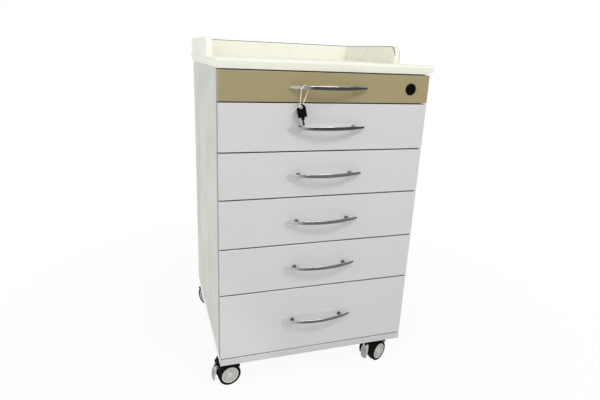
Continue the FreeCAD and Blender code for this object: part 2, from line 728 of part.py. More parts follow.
def build_key():
    """Key hanging by its head: moulded head with a collar, and a notched steel blade."""
    wide, tall = dims["key_head_wide"], dims["key_head_tall"]
    shoulder = wide / 2
    top = dims["key_hole_inset"]
    foot = top - tall
    collar = dims["key_blade_wide"] / 2 + 1
    collar_foot = foot - dims["key_collar_long"]

    head = new_body("key_head")
    outline = draw(sketch_on(head, "XZ_Plane"),
                   (-shoulder, top - shoulder), (-shoulder, foot), (-collar, foot),
                   (-collar, collar_foot), (collar, collar_foot), (collar, foot),
                   (shoulder, foot), (shoulder, top - shoulder, shoulder), (0, top, shoulder))
    draw_circle(outline, 0, 0, dims["key_hole"])
    pad(head, outline, dims["key_head_thick"], both_ways=True)

    blade = new_body("key_blade")
    half = dims["key_blade_wide"] / 2
    tip = foot - dims["key_blade_long"]
    length = collar_foot - tip
    corners = [(-half, collar_foot), (-half, tip + half), (-half / 3, tip), (half / 3, tip)]
    for share, depth in ((0.14, 0.5), (0.32, 0.2), (0.50, 0.65), (0.68, 0.3), (0.86, 0.6)):
        corners.append((half - half * depth, tip + length * share))
    corners.append((half, collar_foot))
    pad(blade, draw(sketch_on(blade, "XZ_Plane"), *corners), dims["key_blade_thick"],
        both_ways=True)

    x, y, z = hanging_point()
    key = group("key_parts", head, blade)
    tilt = FreeCAD.Rotation(FreeCAD.Vector(0, 1, 0), -dims["key_tilt"].value)
    turn = FreeCAD.Rotation(FreeCAD.Vector(0, 0, 1), dims["key_turn"].value)
    keep(place(key, dims["key_side"], y, z - dims["key_hole_drop"], turn * tilt), "key")


def build_tie():
    """Nylon tie: a loop over the bow and through the key, its lock head and its tail."""
    aside = (dims["tie_side"] - dims["key_side"]).value
    lean_angle = math.atan2(aside, dims["key_hole_drop"].value)
    hang = dims["key_hole_drop"] / math.cos(lean_angle)
    body = new_body("tie_loop")
    sketch = sketch_on(body, "XZ_Plane")
    top_centre = dims["bow_tall"] / 2 + 0.4 - dims["tie_top_radius"]
    foot_centre = dims["tie_foot_radius"] + dims["tie_foot_rise"] - hang
    for grow in (0, dims["tie_thick"]):
        draw(sketch, *teardrop(dims["tie_top_radius"] + grow, top_centre,
                               dims["tie_foot_radius"] + grow, foot_centre))
    pad(body, sketch, dims["tie_wide"], both_ways=True)

    half_wide, half_side = dims["tie_wide"] / 2, dims["tie_head_side"] / 2
    head_x = -dims["tie_foot_radius"] - dims["tie_thick"] - dims["tie_head_aside"]
    head_low = foot_centre - dims["tie_head_drop"]
    head = box("tie_head", (head_x - half_side, head_x + half_side), (-half_side, half_side),
               (head_low, head_low + dims["tie_head_long"]))
    tail = box("tie_tail", (0, dims["tie_tail"]), (-half_wide, half_wide),
               (0, dims["tie_thick"]))
    point = FreeCAD.Rotation(FreeCAD.Vector(0, 1, 0), 180 - dims["tie_tail_drop"].value)
    place(tail, head_x, -half_wide, head_low + dims["tie_head_long"] / 2, point)

    x, y, z = hanging_point()
    lean = FreeCAD.Rotation(FreeCAD.Vector(0, 1, 0), math.degrees(lean_angle))
    turn = FreeCAD.Rotation(FreeCAD.Vector(0, 0, 1), dims["tie_turn"].value)
    keep(place(fuse("tie", body, head, tail), x, y, z, lean * turn), "key_tie")


def teardrop(big, big_height, small, small_height):
    """Corners of an outline of two arcs, big above small, joined by straight sides."""
    slope = math.asin((big - small).value / (big_height - small_height).value)
    (small_x, small_z), (big_x, big_z) = [
        (radius * math.cos(slope), height - radius * math.sin(slope))
        for radius, height in ((small, small_height), (big, big_height))]
    return [(-small_x, small_z, small), (small_x, small_z), (big_x, big_z, big),
            (0, big_height + big, big), (-big_x, big_z)]


# ---------------------------------------------------------------- casters

CASTERS = {
    # name: (side, end, direction from its swivel axis to its wheels, degrees from +X)
    "front_left": (-1, "front", 190),
    "front_right": (1, "front", 206),
    "rear_left": (-1, "rear", 122),
    "rear_right": (1, "rear", 27),
}
BRAKED_END = "front"


def caster_spot(side, end):
    """Swivel axis of a caster."""
    x = (half_width - dims["caster_inset"]) * side
    if end == "front":
        return x, front + dims["caster_front_inset"]
    return x, carcass_back - dims["caster_back_inset"]


def build_plates():
    """Top plates, each with the swivel race and pin riveted under it."""
    plates = []
    low = base_low - dims["plate_thick"]
    race_low = base_low - dims["race_drop"]
    pin_low = base_low - dims["kingpin_drop"]
    half = dims["plate_side"] / 2
    for caster, (side, end, _) in CASTERS.items():
        x, y = caster_spot(side, end)
        plate = box(f"plate_{caster}", (x - half, x + half), (y - half, y + half),
                    (low, base_low))
        race = rod(f"race_{caster}", dims["race_radius"], x, y, race_low, low - race_low)
        pin = rod(f"pin_{caster}", dims["kingpin_radius"], x, y, pin_low, race_low - pin_low)
        plates.append(fuse(f"plate_{caster}_solid", plate, race, pin))
    keep(group("plates", *plates), "caster_plates")


pedal_pin_x = dims["caster_trail"] + dims["pedal_reach"]
pedal_pin_z = dims["pedal_height"]


def build_hood(caster, spot, heading, braked):
    """Moulded hood over both wheels, with its middle web, swivel boss and pressed-in axle, and
    a lug with a pin where it carries a brake pedal."""
    axle_x, axle_z = dims["caster_trail"], dims["wheel_radius"]
    top = base_low - dims["race_drop"] - dims["swivel_gap"]
    inside = dims["wheel_radius"] + dims["wheel_clearance"]
    reach, rise = inside * 0.8, inside * 0.6
    wall = dims["hood_wall"]
    bevel = dims["hood_bevel"]
    hood = new_body(f"hood_{caster}")
    stem_side, far_side = axle_x - reach, axle_x + reach
    guard = draw(sketch_on(hood, "XZ_Plane"),
                 (stem_side, axle_z + rise), (stem_side - wall, axle_z + rise),
                 (stem_side - wall, top - bevel), (stem_side - wall + bevel, top),
                 (far_side - bevel * 2, top), (far_side + wall, axle_z + rise + bevel),
                 (far_side + wall, axle_z + rise), (far_side, axle_z + rise, inside))
    pad(hood, guard, dims["hood_wide"], both_ways=True)
    boss = dims["hood_foot"]
    web = draw(sketch_on(hood, "XZ_Plane"),
               (stem_side - wall, top - bevel), (stem_side - wall, axle_z + rise + wall),
               (axle_x - boss, axle_z, boss), (axle_x, axle_z - boss, boss),
               (axle_x + boss, axle_z), (far_side, axle_z + rise + wall),
               (far_side - bevel * 2, top - bevel))
    pad(hood, web, dims["web_thick"], both_ways=True)
    pillar = rectangle(sketch_on(hood, "XZ_Plane"), (0, dims["boss_radius"]),
                       (dims["boss_foot"], top))
    revolve(hood, pillar)
    pin_end = base_low - dims["kingpin_drop"] - dims["swivel_gap"]
    bore = rectangle(sketch_on(hood, "XZ_Plane"),
                     (0, dims["kingpin_radius"] + dims["running_gap"]), (pin_end, top))
    groove = hood.newObject("PartDesign::Groove", f"{hood.Name}_bore")
    groove.Profile = bore
    groove.ReferenceAxis = (bore, ["V_Axis"])
    groove.Angle = 360
    axle = draw_circle(sketch_on(hood, "XZ_Plane"), axle_x, axle_z, dims["axle_radius"])
    pad(hood, axle, dims["axle_half"] * 2, both_ways=True)
    if braked:
        eye = dims["pedal_eye"]
        root = far_side - wall
        lug = draw(sketch_on(hood, "XZ_Plane"),
                   (root, pedal_pin_z - eye), (pedal_pin_x, pedal_pin_z - eye, eye),
                   (pedal_pin_x + eye, pedal_pin_z, eye), (pedal_pin_x, pedal_pin_z + eye),
                   (root, pedal_pin_z + eye))
        pad(hood, lug, dims["pedal_lug"], both_ways=True)
        pin = draw_circle(sketch_on(hood, "XZ_Plane"), pedal_pin_x, pedal_pin_z,
                          dims["pedal_pin"])
        pad(hood, pin, dims["pedal_pin_half"] * 2, both_ways=True)
    turn = FreeCAD.Rotation(FreeCAD.Vector(0, 0, 1), heading)
    keep(place(hood, *spot, 0, turn), f"caster_hood_{caster}")


def build_pedal(caster, spot, heading):
    """Brake pedal: a bulging tongue with a raised rim, forked over the hood's lug."""
    eye, foot = dims["pedal_eye"], dims["pedal_foot"]
    out = pedal_pin_x + dims["pedal_flare"]
    into = out - dims["pedal_thick"]
    rim = dims["pedal_rim"]
    bulge = pedal_bulge_radius()
    above = pedal_pin_z + eye + 1
    name = f"pedal_{caster}"

    side = new_body(f"{name}_side")
    outline = draw(sketch_on(side, "XZ_Plane"),
                   (into, foot), (out, foot, bulge), (pedal_pin_x + eye, pedal_pin_z, eye),
                   (pedal_pin_x, pedal_pin_z + eye, eye), (pedal_pin_x - eye, pedal_pin_z, eye),
                   (pedal_pin_x, pedal_pin_z - eye, -bulge))
    pad(side, outline, dims["pedal_wide"], both_ways=True)
    tongue = pedal_outline(f"{name}_tongue", dims["pedal_wide"] / 2, foot, above)

    hollow = new_body(f"{name}_hollow")
    low, beyond = out - dims["pedal_rim_high"], out + dims["pedal_wide"]
    high = pedal_pin_x + eye - dims["pedal_rim_high"]
    outline = draw(sketch_on(hollow, "XZ_Plane"), (low, foot), (beyond, foot),
                   (beyond, pedal_pin_z), (high, pedal_pin_z, -bulge))
    pad(hollow, outline, dims["pedal_wide"], both_ways=True)
    field = pedal_outline(f"{name}_field", dims["pedal_wide"] / 2 - rim, foot + rim,
                          pedal_pin_z - eye - rim)

    slot_half = dims["pedal_lug"] / 2 + dims["pedal_gap"]
    slot = rod(f"{name}_slot", eye + dims["pedal_gap"] * 2, pedal_pin_x, -slot_half, pedal_pin_z,
               slot_half * 2, ALONG_Y)
    bore = rod(f"{name}_bore", dims["pedal_pin"] + dims["running_gap"], pedal_pin_x,
               -dims["pedal_wide"] / 2, pedal_pin_z, dims["pedal_wide"], ALONG_Y)
    blank = cut(f"{name}_blank", common(f"{name}_plain", side, tongue),
                common(f"{name}_face", hollow, field))
    pedal = cut(name, blank, fuse(f"{name}_eyes", slot, bore))
    turn = FreeCAD.Rotation(FreeCAD.Vector(0, 0, 1), heading)
    keep(place(pedal, *spot, 0, turn), f"brake_pedal_{caster}")


def pedal_bulge_radius():
    """Radius of the arc down the pedal's outer face, from its pin's height to its foot."""
    across = dims["pedal_flare"] - dims["pedal_eye"]
    down = dims["pedal_height"] - dims["pedal_foot"]
    rise = dims["pedal_bulge"]
    quarter = (across.value ** 2 + down.value ** 2) / 4
    return Size((quarter + rise.value ** 2) / (2 * rise.value),
                f"((({across.formula})^2 + ({down.formula})^2) / 4 + ({rise.formula})^2)"
                f" / (2 * ({rise.formula}))")


def pedal_outline(name, half, foot, top):
    """The pedal seen from behind the caster, as a prism: it narrows upwards from its shoulder
    and has a round foot."""
    prism = new_body(name)
    taper = half - (dims["pedal_wide"] - dims["pedal_root"]) / 2
    outline = draw(sketch_on(prism, "YZ_Plane"),
                   (-half, foot + half, half), (0, foot, half), (half, foot + half),
                   (half, dims["pedal_shoulder"]), (taper, top), (-taper, top),
                   (-half, dims["pedal_shoulder"]))
    pad(prism, outline, pedal_pin_x + dims["pedal_wide"])
    return prism


def build_wheel(caster, number, spot, heading):
    """Moulded core with a dished outer face, and the tread moulded round it."""
    inner, outer = dims["wheel_inner"], dims["wheel_outer"]
    tread, core = dims["wheel_radius"], dims["core_radius"]
    dish = dims["core_dish"]
    bore = dims["axle_radius"] + dims["running_gap"]
    bore_end = dims["axle_half"] + 0.5
    body = new_body(f"wheel_{caster}_{number}")
    outline = draw(sketch_on(body, "XY_Plane"),
                   (0, bore_end), (bore, bore_end), (bore, inner), (tread, inner),
                   (tread, outer), (core, outer), (core, outer - dish), (0, outer - dish))
    revolve(body, outline)
    along = FreeCAD.Vector(math.cos(math.radians(heading)), math.sin(math.radians(heading)), 0)
    turn = FreeCAD.Rotation(FreeCAD.Vector(0, 0, 1), heading + 180 * (number - 1))
    x, y = spot
    trail = dims["caster_trail"]
    keep(place(body, x + trail * along.x, y + trail * along.y, tread, turn),
         f"wheel_{caster}_{number}")


# ---------------------------------------------------------------- assembly

def build():
    build_base_board()
    build_side_panels()
    build_back_panel()
    build_top_rails()
    build_worktop()
    build_gallery()
    for level in LEVELS:
        build_front(level)
        build_drawer_box(level)
        build_handle(level)
    build_slides()
    build_lock()
    build_key()
    build_tie()
    build_plates()
    for caster, (side, end, heading) in CASTERS.items():
        spot = caster_spot(side, end)
        braked = end == BRAKED_END
        build_hood(caster, spot, heading, braked)
        if braked:
            build_pedal(caster, spot, heading)
        for number in (1, 2):
            build_wheel(caster, number, spot, heading)


def check():
    """Stops before anything is written if an object failed or a shape isn't sound."""
    for item in doc.Objects:
        if "Invalid" in item.State or "Error" in item.State:
            raise RuntimeError(f"{item.Label} failed: {item.State}")
    for node in nodes:
        if node.Shape.isNull() or not node.Shape.isValid() or not node.Shape.Solids:
            raise RuntimeError(f"{node.Label} has no sound shape")


def export():
    os.makedirs("parts", exist_ok=True)
    for node in nodes:
        node.Shape.exportStep(f"parts/{node.Label}.step")
        print(f"{node.Label}: {len(node.Shape.Solids)} solids, "
              f"{node.Shape.Volume / 1000:.1f} cm3")


build()
doc.recompute()
check()
export()
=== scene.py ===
"""Finishes and fine pieces for a mobile dental cabinet.

Laid out as an add-on: each operator makes one piece or one group of like pieces and lets it ride
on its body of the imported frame.  Lengths are in metres, in the frame's own axes: +Z up, the
drawers open towards -Y, and the origin is on the floor under the middle of the cabinet."""

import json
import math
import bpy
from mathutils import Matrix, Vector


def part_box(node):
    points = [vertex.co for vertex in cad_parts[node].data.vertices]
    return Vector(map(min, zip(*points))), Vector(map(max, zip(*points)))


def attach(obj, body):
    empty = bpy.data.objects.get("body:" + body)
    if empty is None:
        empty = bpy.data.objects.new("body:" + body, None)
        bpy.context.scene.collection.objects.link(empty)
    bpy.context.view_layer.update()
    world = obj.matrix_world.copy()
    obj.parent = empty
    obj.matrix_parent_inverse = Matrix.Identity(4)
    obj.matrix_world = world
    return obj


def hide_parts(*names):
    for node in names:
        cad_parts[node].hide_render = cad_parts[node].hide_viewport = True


bl_info = {
    "name": "Dental cabinet dressing",
    "version": (1, 0, 0),
    "blender": (4, 5, 0),
    "location": "3D View > Sidebar > Cabinet",
    "description": "Finishes, handles, lock, key, slides and casters for a dental cabinet",
    "category": "Object",
}

from functools import partial

import bmesh
import bpy
from bpy.props import FloatProperty, FloatVectorProperty, IntProperty, PointerProperty
from mathutils import Matrix, Vector

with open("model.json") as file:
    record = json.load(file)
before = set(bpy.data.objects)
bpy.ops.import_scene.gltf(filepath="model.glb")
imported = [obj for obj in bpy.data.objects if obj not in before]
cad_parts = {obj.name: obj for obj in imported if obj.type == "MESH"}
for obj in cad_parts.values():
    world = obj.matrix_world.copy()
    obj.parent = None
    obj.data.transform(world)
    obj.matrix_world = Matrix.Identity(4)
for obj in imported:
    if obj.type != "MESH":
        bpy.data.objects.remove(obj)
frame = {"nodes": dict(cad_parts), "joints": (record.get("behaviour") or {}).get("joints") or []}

MM = 0.001
LEVELS = ("one", "two", "three", "four", "five", "six")         # top to bottom
CORNERS = ("front_left", "front_right", "rear_left", "rear_right")
BRAKED = ("front_left", "front_right")
JOINTS = {joint["name"]: joint for joint in frame["joints"]}
FRONT_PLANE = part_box("drawer_front_two")[0].y
moved = Matrix.Translation


# ---------------- settings

def setting(kind, name, description, default, **details):
    return kind(name=name, description=description, default=default, **details)


colour = partial(setting, FloatVectorProperty, size=3, subtype="COLOR", min=0.0, max=1.0)
position = partial(setting, FloatVectorProperty, size=3, subtype="TRANSLATION")
direction = partial(setting, FloatVectorProperty, size=3, subtype="DIRECTION")
length = partial(setting, FloatProperty, subtype="DISTANCE", unit="LENGTH", min=0.0)
angle = partial(setting, FloatProperty, subtype="ANGLE", unit="ROTATION")
power = partial(setting, FloatProperty, subtype="POWER", unit="POWER", min=0.0)
amount = partial(setting, FloatProperty, min=0.0)
count = partial(setting, IntProperty)


class CabinetColours(bpy.types.PropertyGroup):
    """Base colours of the cabinet's finishes."""

    front: colour("Drawer fronts", "High-gloss white of the lower fronts", (0.68, 0.69, 0.68))
    top_front: colour("Top front", "High-gloss khaki of the lockable drawer", (0.38, 0.32, 0.17))
    carcass: colour("Carcass", "Warm white of the side panels", (0.47, 0.47, 0.40))
    worktop: colour("Worktop", "Cream laminate of the worktop and gallery", (0.90, 0.89, 0.78))
    # painted shade: this grey on the fronts' edges stands for the shade in the gaps between the
    # drawers
    banding: colour("Edge banding", "Grey banding round the drawer fronts", (0.27, 0.28, 0.29))
    # painted shade: this near-black on the gallery boards' outer roundings stands for their shade
    rounding: colour("Dark edge", "Dark rounding on two gallery boards", (0.05, 0.045, 0.04))
    base: colour("Base", "Grey-white gloss of the base board", (0.63, 0.64, 0.62))
    board: colour("Drawer boxes", "White melamine of the drawer boxes", (0.76, 0.76, 0.72))
    chrome: colour("Chrome", "Bright plating of the handles' bows", (0.74, 0.74, 0.73))
    # painted shade: the posts are chrome like the bows, darkened to stand for their shade
    post: colour("Handle posts", "Dull plating of the handles' posts", (0.16, 0.16, 0.165))
    zinc: colour("Zinc", "Zinc-plated slides, plates and screws", (0.62, 0.63, 0.65))
    black: colour("Black plastic", "Moulded hoods, key head and lock", (0.004, 0.004, 0.0045))
    tread: colour("Tread", "Soft black tread of the wheels", (0.006, 0.006, 0.007))
    wheel: colour("Wheel core", "Light grey moulded wheel cores", (0.97, 0.97, 0.91))
    # painted shade with dust: the darker floors between a core's ribs stand for the shade in
    # those recesses, and some dust
    pocket: colour("Wheel pockets", "Dusty pockets between a core's ribs", (0.60, 0.61, 0.56))
    pedal: colour("Brake pedal", "Light grey moulded brake pedals", (0.95, 0.96, 0.90))
    # painted shade with dirt: the darker pedal hollow and ribs stand partly for the hollow's
    # shade and partly for trodden dirt
    worn: colour("Worn pedal", "Trodden and soiled hollow of the pedals", (0.36, 0.37, 0.34))
    steel: colour("Dark steel", "Blackened blade of the key", (0.05, 0.05, 0.052))
    nylon: colour("Nylon", "Natural nylon of the key's tie", (0.80, 0.76, 0.62))


class HandleSizes(bpy.types.PropertyGroup):
    """Sizes of a bow handle that its box in the frame doesn't give."""

    end_standoff: length("End standoff", "Drawer front to the faces of the bow's ends", 6 * MM)
    thick: length("Thickness", "Bow's thickness at its middle", 5 * MM)
    end_thick: length("End thickness", "Bow's thickness at its ends", 2.4 * MM)
    tall: length("Height", "Bow's height at its middle", 9 * MM)
    end_tall: length("End height", "Bow's height at its ends", 5 * MM)
    edge: length("Edge radius", "Radius of the bow's long edges", 1.1 * MM)
    post_spacing: length("Post spacing", "Between the two posts", 128 * MM)
    post_radius: length("Post radius", "Radius of a post", 4 * MM)
    stations: count("Stations", "Sections along the bow", 32, min=8, max=96)


class WheelSizes(bpy.types.PropertyGroup):
    """Sizes of a twin-wheel caster's wheels."""

    radius: length("Tread radius", "Outside radius of the tread", 29 * MM)
    core: length("Core radius", "Where the tread meets the core", 22.2 * MM)
    inner: length("Inner face", "Inner face from the caster's middle plane", 7 * MM)
    outer: length("Outer face", "Outer face from the caster's middle plane", 24.5 * MM)
    ribs: count("Ribs", "Radial ribs on a core's face", 18, min=6, max=48)
    steps: count("Steps", "Sections round a wheel", 72, min=24, max=180)


class KeySizes(bpy.types.PropertyGroup):
    """Sizes of the key, and how it hangs."""

    head_wide: length("Head width", "Width of the moulded head", 20 * MM)
    head_tall: length("Head height", "Height of the moulded head", 29 * MM)
    head_thick: length("Head thickness", "Thickness of the moulded head", 4.5 * MM)
    hole: length("Hole radius", "Radius of the hole in the head", 4.2 * MM)
    hole_inset: length("Hole inset", "Hole's middle below the top of the head", 6.5 * MM)
    collar: length("Collar", "Length of the collar below the head", 5 * MM)
    blade_long: length("Blade length", "Blade below the head", 19 * MM)
    blade_wide: length("Blade width", "Width of the blade", 5.5 * MM)
    blade_thick: length("Blade thickness", "Thickness of the blade", 1.8 * MM)
    side: length("Place", "Middle of the key along X", -72 * MM, min=-1.0)
    drop: length("Drop", "From the bow down to the hole in the head", 41 * MM)
    tilt: angle("Tilt", "Lean of the hanging key", math.radians(13))
    turn: angle("Turn", "Turn of the key about the upright", math.radians(-20))


class TieSizes(bpy.types.PropertyGroup):
    """Sizes of the nylon tie that holds the key on the handle."""

    wide: length("Strap width", "Width of the strap", 2.4 * MM)
    thick: length("Strap thickness", "Thickness of the strap", 1.2 * MM)
    top_radius: length("Top radius", "Inside radius of the loop over the bow", 12 * MM)
    foot_radius: length("Foot radius", "Inside radius of the loop in the key's hole", 4 * MM)
    foot_rise: length("Foot rise", "Inside of the loop's foot above the hole's middle", 1.5 * MM)
    head: length("Lock head", "Side of the lock head", 4 * MM)
    tail: length("Tail", "Length of the cut tail", 29 * MM)
    turn: angle("Turn", "Turn of the loop about the upright", math.radians(36.9))
    drop: angle("Tail drop", "How far the tail points down", math.radians(20))


class StageSettings(bpy.types.PropertyGroup):
    """Camera and studio light."""

    lens: amount("Lens", "Focal length in millimetres", 28.03)
    eye: position("Camera place", "Where the camera stands", (-0.39513, -1.21841, 0.82534))
    across: direction("Picture's right", "Direction of the picture's right-hand side",
                      (0.95040, -0.30810, 0.04265))
    upward: direction("Picture's up", "Direction of the picture's top",
                      (0.05431, 0.29937, 0.95259))
    overhead: power("Overhead light", "Power of the overhead softbox", 19.0)
    left: power("Left light", "Power of the left softbox", 16.0)
    right: power("Right light", "Power of the right softbox", 8.0)
    ambient: amount("Ambient", "Strength of the studio's own light", 0.55)
    floor: colour("Floor", "Colour of the plain floor", (0.86, 0.86, 0.85))
    room: colour("Room", "What gloss and chrome show of the room", (0.075, 0.078, 0.075))


# ---------------- shader nodes

def plug(tree, socket, value):
    """Feeds a socket from another node's output, or sets it to a plain value."""
    if isinstance(value, bpy.types.NodeSocket):
        tree.links.new(value, socket)
    else:
        socket.default_value = value


def feed(tree, node, **values):
    """Feeds a node's sockets by name.  An underscore stands for a space."""
    for name, value in values.items():
        plug(tree, node.inputs[name.replace("_", " ")], value)


def add_node(tree, kind, *sources, **values):
    """Adds a shader node.  The sources go to its first sockets in order.  Of the values, a name
    with a capital is a socket's, and a name without one is a setting of the node."""
    node = tree.nodes.new(f"ShaderNode{kind}")
    for name in [name for name in values if name.islower()]:
        setattr(node, name, values.pop(name))
    for socket, source in zip(node.inputs, sources):
        plug(tree, socket, source)
    feed(tree, node, **values)
    return node


def mix_colours(tree, factor, first, second, blend_type="MIX"):
    """Mixes two colours, which sockets 6 and 7 of a Mix node take."""
    mix = add_node(tree, "Mix", factor, data_type="RGBA", blend_type=blend_type)
    plug(tree, mix.inputs[6], first)
    plug(tree, mix.inputs[7], second)
    return mix.outputs[2]


def shade(tone, factor):
    """A tone made darker or lighter, as a node takes it."""
    return (*(min(1.0, channel * factor) for channel in tone), 1.0)


# ---------------- finishes

class Finish:
    """One material: a Principled shader with patterns on Object coordinates."""

    def __init__(self, name, **values):
        material = bpy.data.materials.new(name)
        material.use_nodes = True
        self.tree = material.node_tree
        self.shader = self.tree.nodes["Principled BSDF"]
        self.place = add_node(self.tree, "TexCoord").outputs["Object"]
        feed(self.tree, self.shader, **values)

    def stretched(self, scale):
        """The Object coordinates, scaled along each axis."""
        return add_node(self.tree, "Mapping", self.place, Scale=scale).outputs["Vector"]

    def noise(self, scale, detail=3.0, roughness=0.5, place=None):
        return add_node(self.tree, "TexNoise", place or self.place, Scale=scale, Detail=detail,
                        Roughness=roughness).outputs["Fac"]

    def cells(self, scale):
        return add_node(self.tree, "TexVoronoi", self.place, Scale=scale).outputs["Distance"]

    def between(self, pattern, low, high, start=0.3, end=0.7):
        """Maps a pattern's start..end to low..high."""
        return add_node(self.tree, "MapRange", pattern, start, end, low, high).outputs["Result"]

    def colour(self, tone, first, second, pattern, start=0.3, end=0.7):
        """Varies a tone between two shades of it, as the pattern goes from start to end."""
        share = self.between(pattern, 0.0, 1.0, start, end)
        feed(self.tree, self.shader, Base_Color=mix_colours(
            self.tree, share, shade(tone, first), shade(tone, second)))

    def rough(self, low, high, pattern):
        feed(self.tree, self.shader, Roughness=self.between(pattern, low, high))

    def bump(self, strength, distance, pattern):
        node = add_node(self.tree, "Bump", Strength=strength, Distance=distance, Height=pattern)
        feed(self.tree, self.shader, Normal=node.outputs["Normal"])


def high_gloss(name, tone):
    """Sprayed high-gloss lacquer: a faint orange peel, and polishing haze in the gloss."""
    finish = Finish(name, Coat_Weight=1.0, Coat_Roughness=0.03, Coat_IOR=1.6, IOR=1.6)
    finish.colour(tone, 0.985, 1.01, finish.noise(2.2, 2.0))
    finish.rough(0.06, 0.13, finish.noise(6.0, 5.0))
    finish.bump(0.03, 0.12 * MM, finish.noise(170.0, 2.0))


def carcass_gloss(name, tone):
    """Glossy foil on the carcass boards, pressed with a fine upright ripple."""
    finish = Finish(name, IOR=1.5, Specular_IOR_Level=0.22)
    finish.colour(tone, 0.97, 1.02, finish.noise(1.6))
    finish.rough(0.16, 0.28, finish.noise(9.0, 4.0))
    finish.bump(0.06, 0.3 * MM, finish.noise(60.0, place=finish.stretched((1.0, 1.0, 0.25))))


def laminate(name, tone):
    """Satin laminate with a fine pearl grain."""
    finish = Finish(name, IOR=1.48)
    finish.colour(tone, 0.985, 1.01, finish.noise(900.0, 2.0))
    finish.rough(0.26, 0.36, finish.noise(14.0, 4.0))
    finish.bump(0.08, 0.08 * MM, finish.noise(1100.0, 2.0))


def melamine(name, tone):
    """Matt melamine with a pressed pearl texture."""
    finish = Finish(name, IOR=1.46)
    finish.colour(tone, 0.97, 1.02, finish.noise(3.0, 4.0))
    finish.rough(0.42, 0.54, finish.noise(25.0))
    finish.bump(0.15, 0.1 * MM, finish.noise(1400.0, 1.0))


def chrome_plate(name, tone):
    """Bright plating, with faint polishing lines along the bow and handling marks."""
    finish = Finish(name, Metallic=1.0)
    finish.colour(tone, 0.95, 1.0, finish.noise(40.0, 4.0))
    marks = finish.noise(260.0, 4.0, place=finish.stretched((0.06, 1.0, 1.0)))
    finish.rough(0.05, 0.13, marks)
    finish.bump(0.02, 0.05 * MM, marks)


def zinc_plate(name, tone):
    """Dull zinc with its crystals' faint mottle."""
    finish = Finish(name, Metallic=1.0)
    finish.colour(tone, 0.86, 1.0, finish.cells(130.0), 0.0, 0.9)
    finish.rough(0.28, 0.42, finish.noise(80.0, 5.0))
    finish.bump(0.06, 0.05 * MM, finish.noise(500.0))


def dark_steel(name, tone):
    """Blackened steel, rubbed a little brighter in fine scratches."""
    finish = Finish(name, Metallic=0.85)
    finish.colour(tone, 1.0, 2.4, finish.noise(300.0, 5.0), 0.55, 0.8)
    finish.rough(0.30, 0.45, finish.noise(220.0))
    finish.bump(0.05, 0.05 * MM, finish.noise(600.0))


def moulded(name, tone):
    """Injection-moulded plastic with a fine spark-eroded texture."""
    finish = Finish(name, IOR=1.5, Specular_IOR_Level=0.06)
    finish.colour(tone, 0.9, 1.12, finish.noise(30.0, 5.0))
    finish.rough(0.38, 0.52, finish.noise(60.0, 4.0))
    finish.bump(0.12, 0.08 * MM, finish.noise(1600.0, 2.0))


def soft_tread(name, tone):
    """Soft tread, greyed here and there by floor dust."""
    finish = Finish(name, IOR=1.5, Specular_IOR_Level=0.08)
    finish.colour(tone, 1.0, 3.0, finish.noise(70.0, 6.0, roughness=0.65), 0.55, 0.85)
    finish.rough(0.50, 0.68, finish.noise(45.0))
    finish.bump(0.2, 0.1 * MM, finish.noise(700.0))


def wheel_plastic(name, tone):
    """Light grey core plastic with scuffs from use."""
    finish = Finish(name, IOR=1.5)
    finish.colour(tone, 1.0, 0.86, finish.noise(55.0, 6.0, roughness=0.7), 0.45, 0.8)
    finish.rough(0.24, 0.38, finish.noise(38.0, 4.0))
    finish.bump(0.06, 0.05 * MM, finish.noise(900.0, 2.0))


def nylon(name, tone):
    """Translucent natural nylon."""
    finish = Finish(name, Subsurface_Weight=0.25, Subsurface_Scale=1.5 * MM, IOR=1.53)
    finish.colour(tone, 0.94, 1.03, finish.noise(120.0))
    finish.rough(0.30, 0.42, finish.noise(90.0))
    finish.bump(0.08, 0.05 * MM, finish.noise(800.0))


FINISHES = {
    # name: (maker, colour)
    "gloss_white": (high_gloss, "front"),
    "gloss_base": (high_gloss, "base"),
    "gloss_khaki": (high_gloss, "top_front"),
    "carcass_white": (carcass_gloss, "carcass"),
    "worktop_cream": (laminate, "worktop"),
    "melamine_white": (melamine, "board"),
    "edge_band": (melamine, "banding"),
    "dark_edge": (melamine, "rounding"),
    "chrome": (chrome_plate, "chrome"),
    "zinc": (zinc_plate, "zinc"),
    # painted shade: zinc_plate with the posts' near-black tone, for chrome posts in shade
    "dull_post": (zinc_plate, "post"),
    "black_plastic": (moulded, "black"),
    "tread_black": (soft_tread, "tread"),
    "wheel_grey": (wheel_plastic, "wheel"),
    "wheel_pocket": (wheel_plastic, "pocket"),
    "pedal_grey": (wheel_plastic, "pedal"),
    "pedal_worn": (wheel_plastic, "worn"),
    "dark_steel": (dark_steel, "steel"),
    "nylon": (nylon, "nylon"),
}


def finish_named(name):
    """The material of that name, made the first time it is asked for."""
    if name not in bpy.data.materials:
        maker, tone = FINISHES[name]
        maker(name, getattr(bpy.context.scene.cabinet_colours, tone))
    return bpy.data.materials[name]


# ---------------- mesh helpers

def turned(by, axis):
    """The matrix of a turn, as moved makes that of a shift."""
    return Matrix.Rotation(by, 4, axis)


def vertices(geometry):
    """The vertices among what a bmesh operator returns."""
    return [item for item in geometry if isinstance(item, bmesh.types.BMVert)]


def edges_at(verts):
    """The edges that meet the vertices, each once and in order."""
    return list(dict.fromkeys(edge for vert in verts for edge in vert.link_edges))


def face_outwards(bm):
    bmesh.ops.recalc_face_normals(bm, faces=list(bm.faces))


def bevel(bm, edges, radius, segments=2):
    bmesh.ops.bevel(bm, geom=edges, offset=radius, offset_type="OFFSET", segments=segments,
                    profile=0.5, affect="EDGES", material=-1, clamp_overlap=True)


